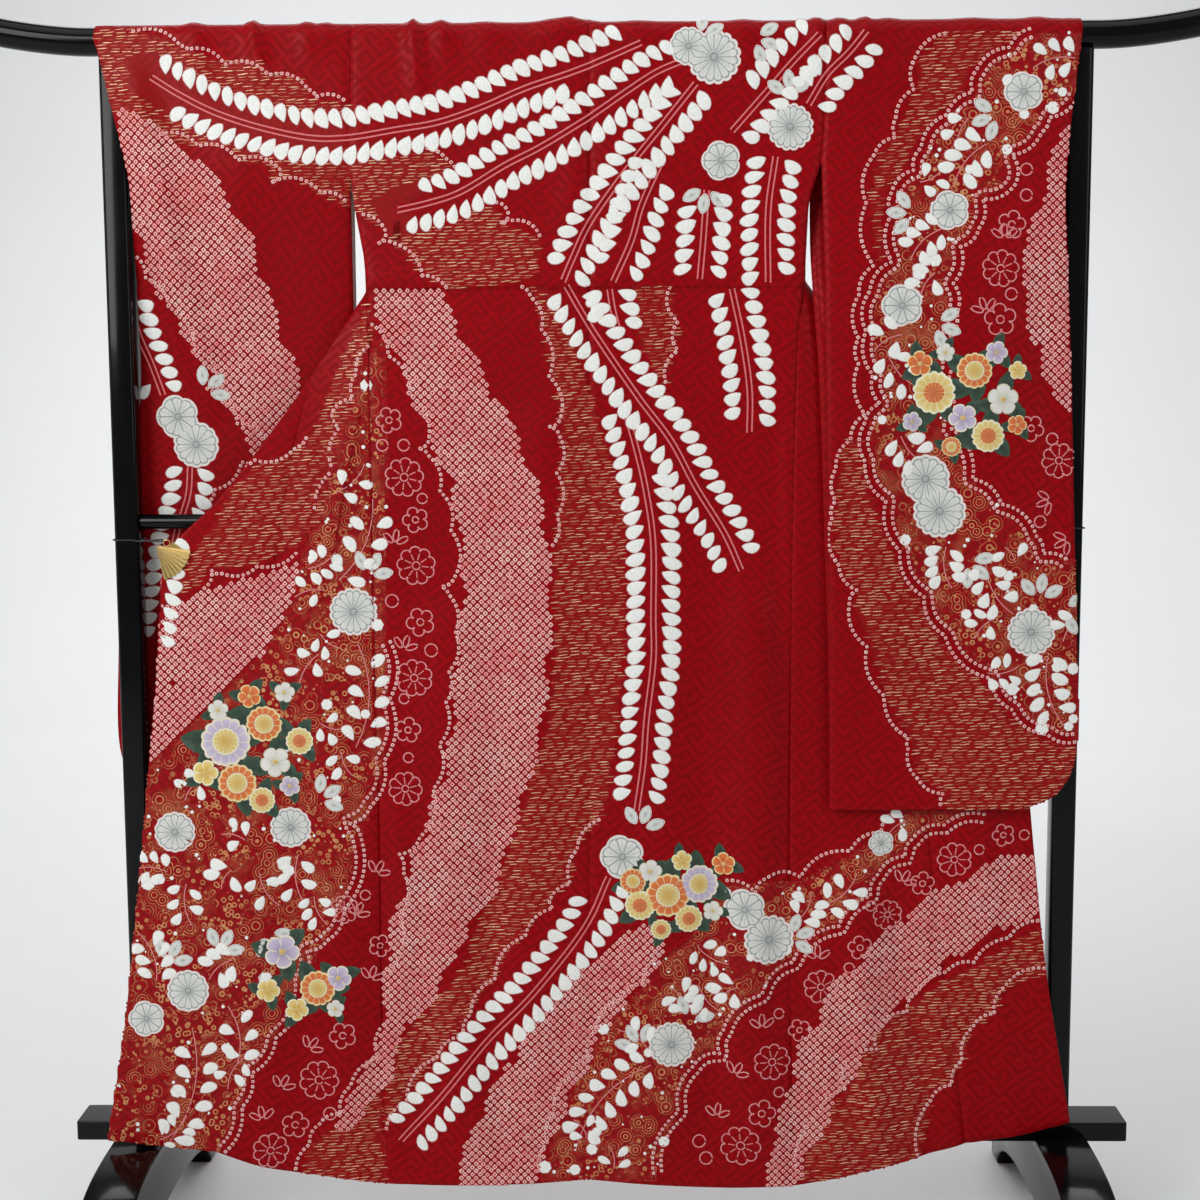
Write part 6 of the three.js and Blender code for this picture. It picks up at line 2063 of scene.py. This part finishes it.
def make_stand():
    x = np.concatenate([
        np.linspace(-RAIL_HALF, -RAIL_STRAIGHT, 24),
        np.linspace(-RAIL_STRAIGHT, RAIL_STRAIGHT, 13)[1:-1],
        np.linspace(RAIL_STRAIGHT, RAIL_HALF, 24),
    ])
    past = np.maximum(0, np.abs(x) - RAIL_STRAIGHT) / (RAIL_HALF - RAIL_STRAIGHT)
    line = np.stack([x, 0 * x, RAIL_Z + RAIL_RISE * past ** RAIL_CURVE], axis=1)
    round_bar("top_rail_lacquered", "top_rail", line, RAIL_D / 2, 48, RAIL_EDGE)
    half = POST_X - POST_W / 2 - SEAT
    middle = np.stack([np.linspace(-half, half, 9), np.zeros(9), np.full(9, MID_TOP - MID_D / 2)], axis=1)
    round_bar("middle_rail_lacquered", "middle_rail", middle, MID_D / 2, 36, MID_EDGE)
    bottom, top = BAR_TOP + SEAT, RAIL_Z - RAIL_D / 2 - SEAT
    post = rounded_rectangle(POST_W, POST_W, POST_ROUND)
    foot = foot_outline()
    for side, name in ((-1, "left"), (1, "right")):
        slab(f"post_{name}_lacquered", f"post_{name}", post, bottom, top, POST_EDGE,
             lambda p, s=side: p + (s * POST_X, 0, 0))
        slab(f"foot_{name}_lacquered", f"foot_{name}", foot, -FOOT_W / 2, FOOT_W / 2, FOOT_EDGE,
             lambda p, s=side: np.column_stack([p[:, 2] + s * POST_X, p[:, 0], p[:, 1]]))
    bar = rounded_rectangle(2 * BAR_HALF, BAR_DEEP, 4)
    slab("bottom_bar_lacquered", "bottom_bar", bar, BAR_TOP - BAR_HIGH, BAR_TOP, BAR_EDGE, lambda p: p)


make_stand()

# ---------------------------------------------------------------- fan clips and their cords
FAN_R, FAN_SPREAD, FAN_RIBS = 50, 70, 9
FAN_AIMS = {-1: -43, 1: 223}  # degrees, of the left and the right fan
JAW_W, JAW_REACH, JAW_T, JAW_SLOT = 16, 17, 1.2, 7
RING_R, RING_T, CORD_D = 4.6, 0.8, 2
SIDES = 12  # round a ring's wire and a cord
BRAID_TURN = 3.0  # length of the cord that one repeat of the braid takes
CLIPS = ((-1, -600, -37.8, 1022), (1, 580, -24.2, 1034))


def fan_surface(side, x, y, z):
    """A folded fan: polar grid, radius r and angle a, standing 0.5 |triangle wave of the ribs| off its
    plane, with a scalloped outer edge; the back is flat."""
    aim = math.radians(FAN_AIMS[side])
    r = np.concatenate([[2.0], np.linspace(5, FAN_R - 1.8, 14)])[:, None]
    count = FAN_RIBS * 2 * 4 + 1
    share = np.linspace(0, 1, count)[None, :]
    angle = aim + math.radians(FAN_SPREAD) * (share - 0.5)
    rib = np.abs(((share * FAN_RIBS) % 1.0) * 2 - 1)
    reach = r + (r > FAN_R - 2) * 1.7 * (1 - rib)
    depth = -0.35 - 0.62 * (1 - rib) * np.clip(r / FAN_R, 0.15, 1)
    u, v = reach * np.cos(angle), reach * np.sin(angle)
    front = np.stack([x + side * 22 + u, y - 1.3 + depth + 0 * u, z + 3 + v], axis=2)
    back = front.copy()
    back[..., 1] = y - 0.35
    n, m = u.shape
    loop = around(np.arange(n * m).reshape(n, m))
    after = np.roll(loop, -1)
    side_faces = np.stack([loop, after, after + n * m, loop + n * m], axis=1)
    sheet = grid_faces(n, m)
    faces = np.concatenate([sheet, sheet[:, ::-1] + n * m, side_faces[:, ::-1]])
    return np.concatenate([front.reshape(-1, 3), back.reshape(-1, 3)]), faces


def cord_route(side, ring, z):
    """The points of the CAD cord: out of the ring, once round the post, and back."""
    near, far = side * (POST_X - POST_W / 2), side * (POST_X + POST_W / 2)
    clear = CORD_D / 2 + SEAT + 1.1
    face, level = POST_W / 2 + clear, z + 9
    start = ring + np.array([side * SLOPE_X, 0, -SLOPE_Z]) * (RING_R + RING_T + 3 * SEAT)
    s = side
    return np.array([
        (start[0], start[1], start[2] + 1.4),
        (near - s * 3, -face - 3, level - 1),
        (near + s * 8, -face, level),
        (far - s * 8, -face, level),
        (far + s * (clear - 0.4), -face + 5, level),
        (far + s * clear, 0, level),
        (far + s * (clear - 0.4), face - 5, level),
        (far - s * 8, face, level),
        (near + s * 8, face, level),
        (near - s * (clear - 0.4), face - 5, level),
        (near - s * clear, 0, level - 0.5),
        (near - s * (clear + 3), -face + 6, level - 1.5),
        (start[0], start[1] + 1, start[2] - 1.4),
    ])


def make_clip(side, x, y, z):
    name = "left" if side < 0 else "right"
    out = np.array([side * SLOPE_X, 0, -SLOPE_Z])
    edge = np.cross(out, (0, 1, 0))
    axes = np.stack([out, (0, 1, 0), edge])
    centre = np.array([x, y, z])
    room, outer, reach = JAW_SLOT / 2, JAW_SLOT / 2 + JAW_T, -JAW_REACH
    jaw = np.array([
        (reach, -outer), (2.6, -outer), (4.4, -outer + 1.8), (4.4, outer - 1.8), (2.6, outer), (reach, outer),
        (reach, room), (1.8, room), (3, room - 1.2), (3, -room + 1.2), (1.8, -room), (reach, -room),
    ])
    slab(f"clip_{name}_brass", f"clip_{name}", jaw, -JAW_W / 2, JAW_W / 2, 0.3, lambda p: p @ axes + centre,
         BRASS, "gold_metal")
    points, faces = fan_surface(side, x, y - JAW_SLOT / 2 - JAW_T, z)
    sharpen(finish_piece(f"fan_{name}_brass", points, faces, [BRASS], f"fan_{name}", "gold_metal"), 20)
    ring = centre + out * (4.4 + SEAT + RING_T + RING_R)
    angle = np.linspace(0, 2 * math.pi, 40, endpoint=False)
    circle = ring + RING_R * np.stack([np.cos(angle), 0 * angle, np.sin(angle)], axis=1)
    rings = along_path(circle, (RING_T, SIDES), closed=True)
    k = np.arange(SIDES)
    after = (k + 1) % SIDES
    end = (len(circle) - 1) * SIDES
    last = np.stack([end + k, end + after, after, k], axis=1)
    faces = np.concatenate([grid_faces(len(circle), SIDES, closed=True), last])
    finish_piece(f"ring_{name}_brass", rings.reshape(-1, 3), faces, [BRASS], f"ring_{name}", "gold_metal")
    make_cord(name, catmull_rom(cord_route(side, ring, z), 10))


def make_cord(name, path):
    """A braided cord along a path. A face that spans the seam of u takes the low side's u + 1."""
    tube = along_path(path, (CORD_D / 2, SIDES))
    points = np.concatenate([tube.reshape(-1, 3), path[:1], path[-1:]])
    faces = tube_faces(len(path), SIDES)
    run = np.concatenate([[0], np.cumsum(np.linalg.norm(np.diff(path, axis=0), axis=1))])
    u = np.concatenate([np.tile(np.arange(SIDES) / SIDES, len(path)), [0, 0]])
    v = np.concatenate([np.repeat(run / BRAID_TURN, SIDES), [0, run[-1] / BRAID_TURN]])
    corner = faces.ravel()
    wrap = u[corner].reshape(-1, 3)
    wrap = np.where(wrap.max(axis=1, keepdims=True) - wrap > 0.5, wrap + 1, wrap)
    uvs = np.column_stack([wrap.ravel(), v[corner]])
    turned = faced_out(points, faces)
    if turned is not faces:
        uvs = uvs.reshape(-1, 3, 2)[:, ::-1].reshape(-1, 2)
    cord = make_object(f"cord_{name}_braided", points * MM, turned, [BRAID], uvs=uvs)
    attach(cord, "root")
    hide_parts(f"cord_{name}")


for clip in CLIPS:
    make_clip(*clip)


# ---------------------------------------------------------------- floor and light
def plain_paint(name, colour, rough):
    m = Nodes(name)
    soft = m.noise(m.place(), 2.0, 3.0)
    fine = m.noise(m.place(), 400.0, 2.0)
    darker = tuple(c * 0.96 for c in colour[:3]) + (1,)
    mixed = m.mix(soft, colour, darker)
    return m.finish(Base_Color=mixed, Roughness=rough, Normal=m.bump(fine, 0.05, 0.0005))


def make_floor():
    """A floor that sweeps up into a plain wall: level, then a quarter circle, then straight up."""
    flat, round_by, high, wide = 4.0, 5.0, 7.0, 12.0  # metres
    angle = np.linspace(0, math.pi / 2, 24)
    y = np.concatenate([[-12.0], flat + round_by * np.sin(angle), [flat + round_by]])
    z = np.concatenate([[0.0], round_by * (1 - np.cos(angle)), [high]])
    x = np.array([-wide, wide])
    across, along = np.meshgrid(x, y)
    points = np.stack([across, along, np.repeat(z[:, None], 2, 1)], axis=2).reshape(-1, 3)
    paint = plain_paint("pale_paint", (0.88, 0.885, 0.89, 1), 0.5)
    floor = make_object("floor_sweep", points, grid_faces(len(y), 2), [paint])


def softbox(name, at, toward, size, power):
    data = bpy.data.lights.new(name, "AREA")
    data.shape = "RECTANGLE"
    data.size, data.size_y = size
    data.energy = power
    light = bpy.data.objects.new(name, data)
    bpy.context.scene.collection.objects.link(light)
    back = unit(np.array(at, float) - np.array(toward, float))
    side = unit(np.cross((0.0, 0.0, 1.0) if abs(back[2]) < 0.95 else (0.0, 1.0, 0.0), back))
    matrix = np.eye(4)
    matrix[:3] = np.column_stack([side, np.cross(back, side), back, at])
    light.matrix_world = Matrix(matrix.tolist())
    light.visible_camera = False


# name, at, toward, size, watts
LIGHTS = (
    ("key", (-2.3, -3.0, 2.7), (0, 0, 1.0), (1.6, 2.2), 80),
    ("fill", (2.6, -2.8, 2.2), (0, 0, 0.9), (1.2, 2.2), 20),
    ("overhead", (0, -0.6, 3.6), (0, 0, 0), (3.0, 1.6), 20),
    ("wall_left", (-2.2, 4.4, 4.6), (-1.6, 8.0, 1.2), (3.0, 1.4), 105),
    ("wall_right", (2.2, 4.4, 4.6), (1.6, 8.0, 1.2), (3.0, 1.4), 82),
    ("behind", (0, 2.4, 3.8), (0, 2.6, 0), (4.0, 1.6), 74),
    ("strip", (-3.2, -0.6, 1.4), (-0.6, 0, 1.0), (0.35, 2.4), 9),
)
ROOM_TINT, ROOM_STRENGTH = (0.93, 0.96, 1.0, 1), 0.23


def make_light():
    world = bpy.data.worlds.new("room")
    bpy.context.scene.world = world
    world.use_nodes = True
    background = world.node_tree.nodes["Background"]
    background.inputs[0].default_value = ROOM_TINT
    background.inputs[1].default_value = ROOM_STRENGTH
    for light in LIGHTS:
        softbox(*light)


make_floor()
make_light()
bpy.context.scene.view_settings.view_transform = "Standard"
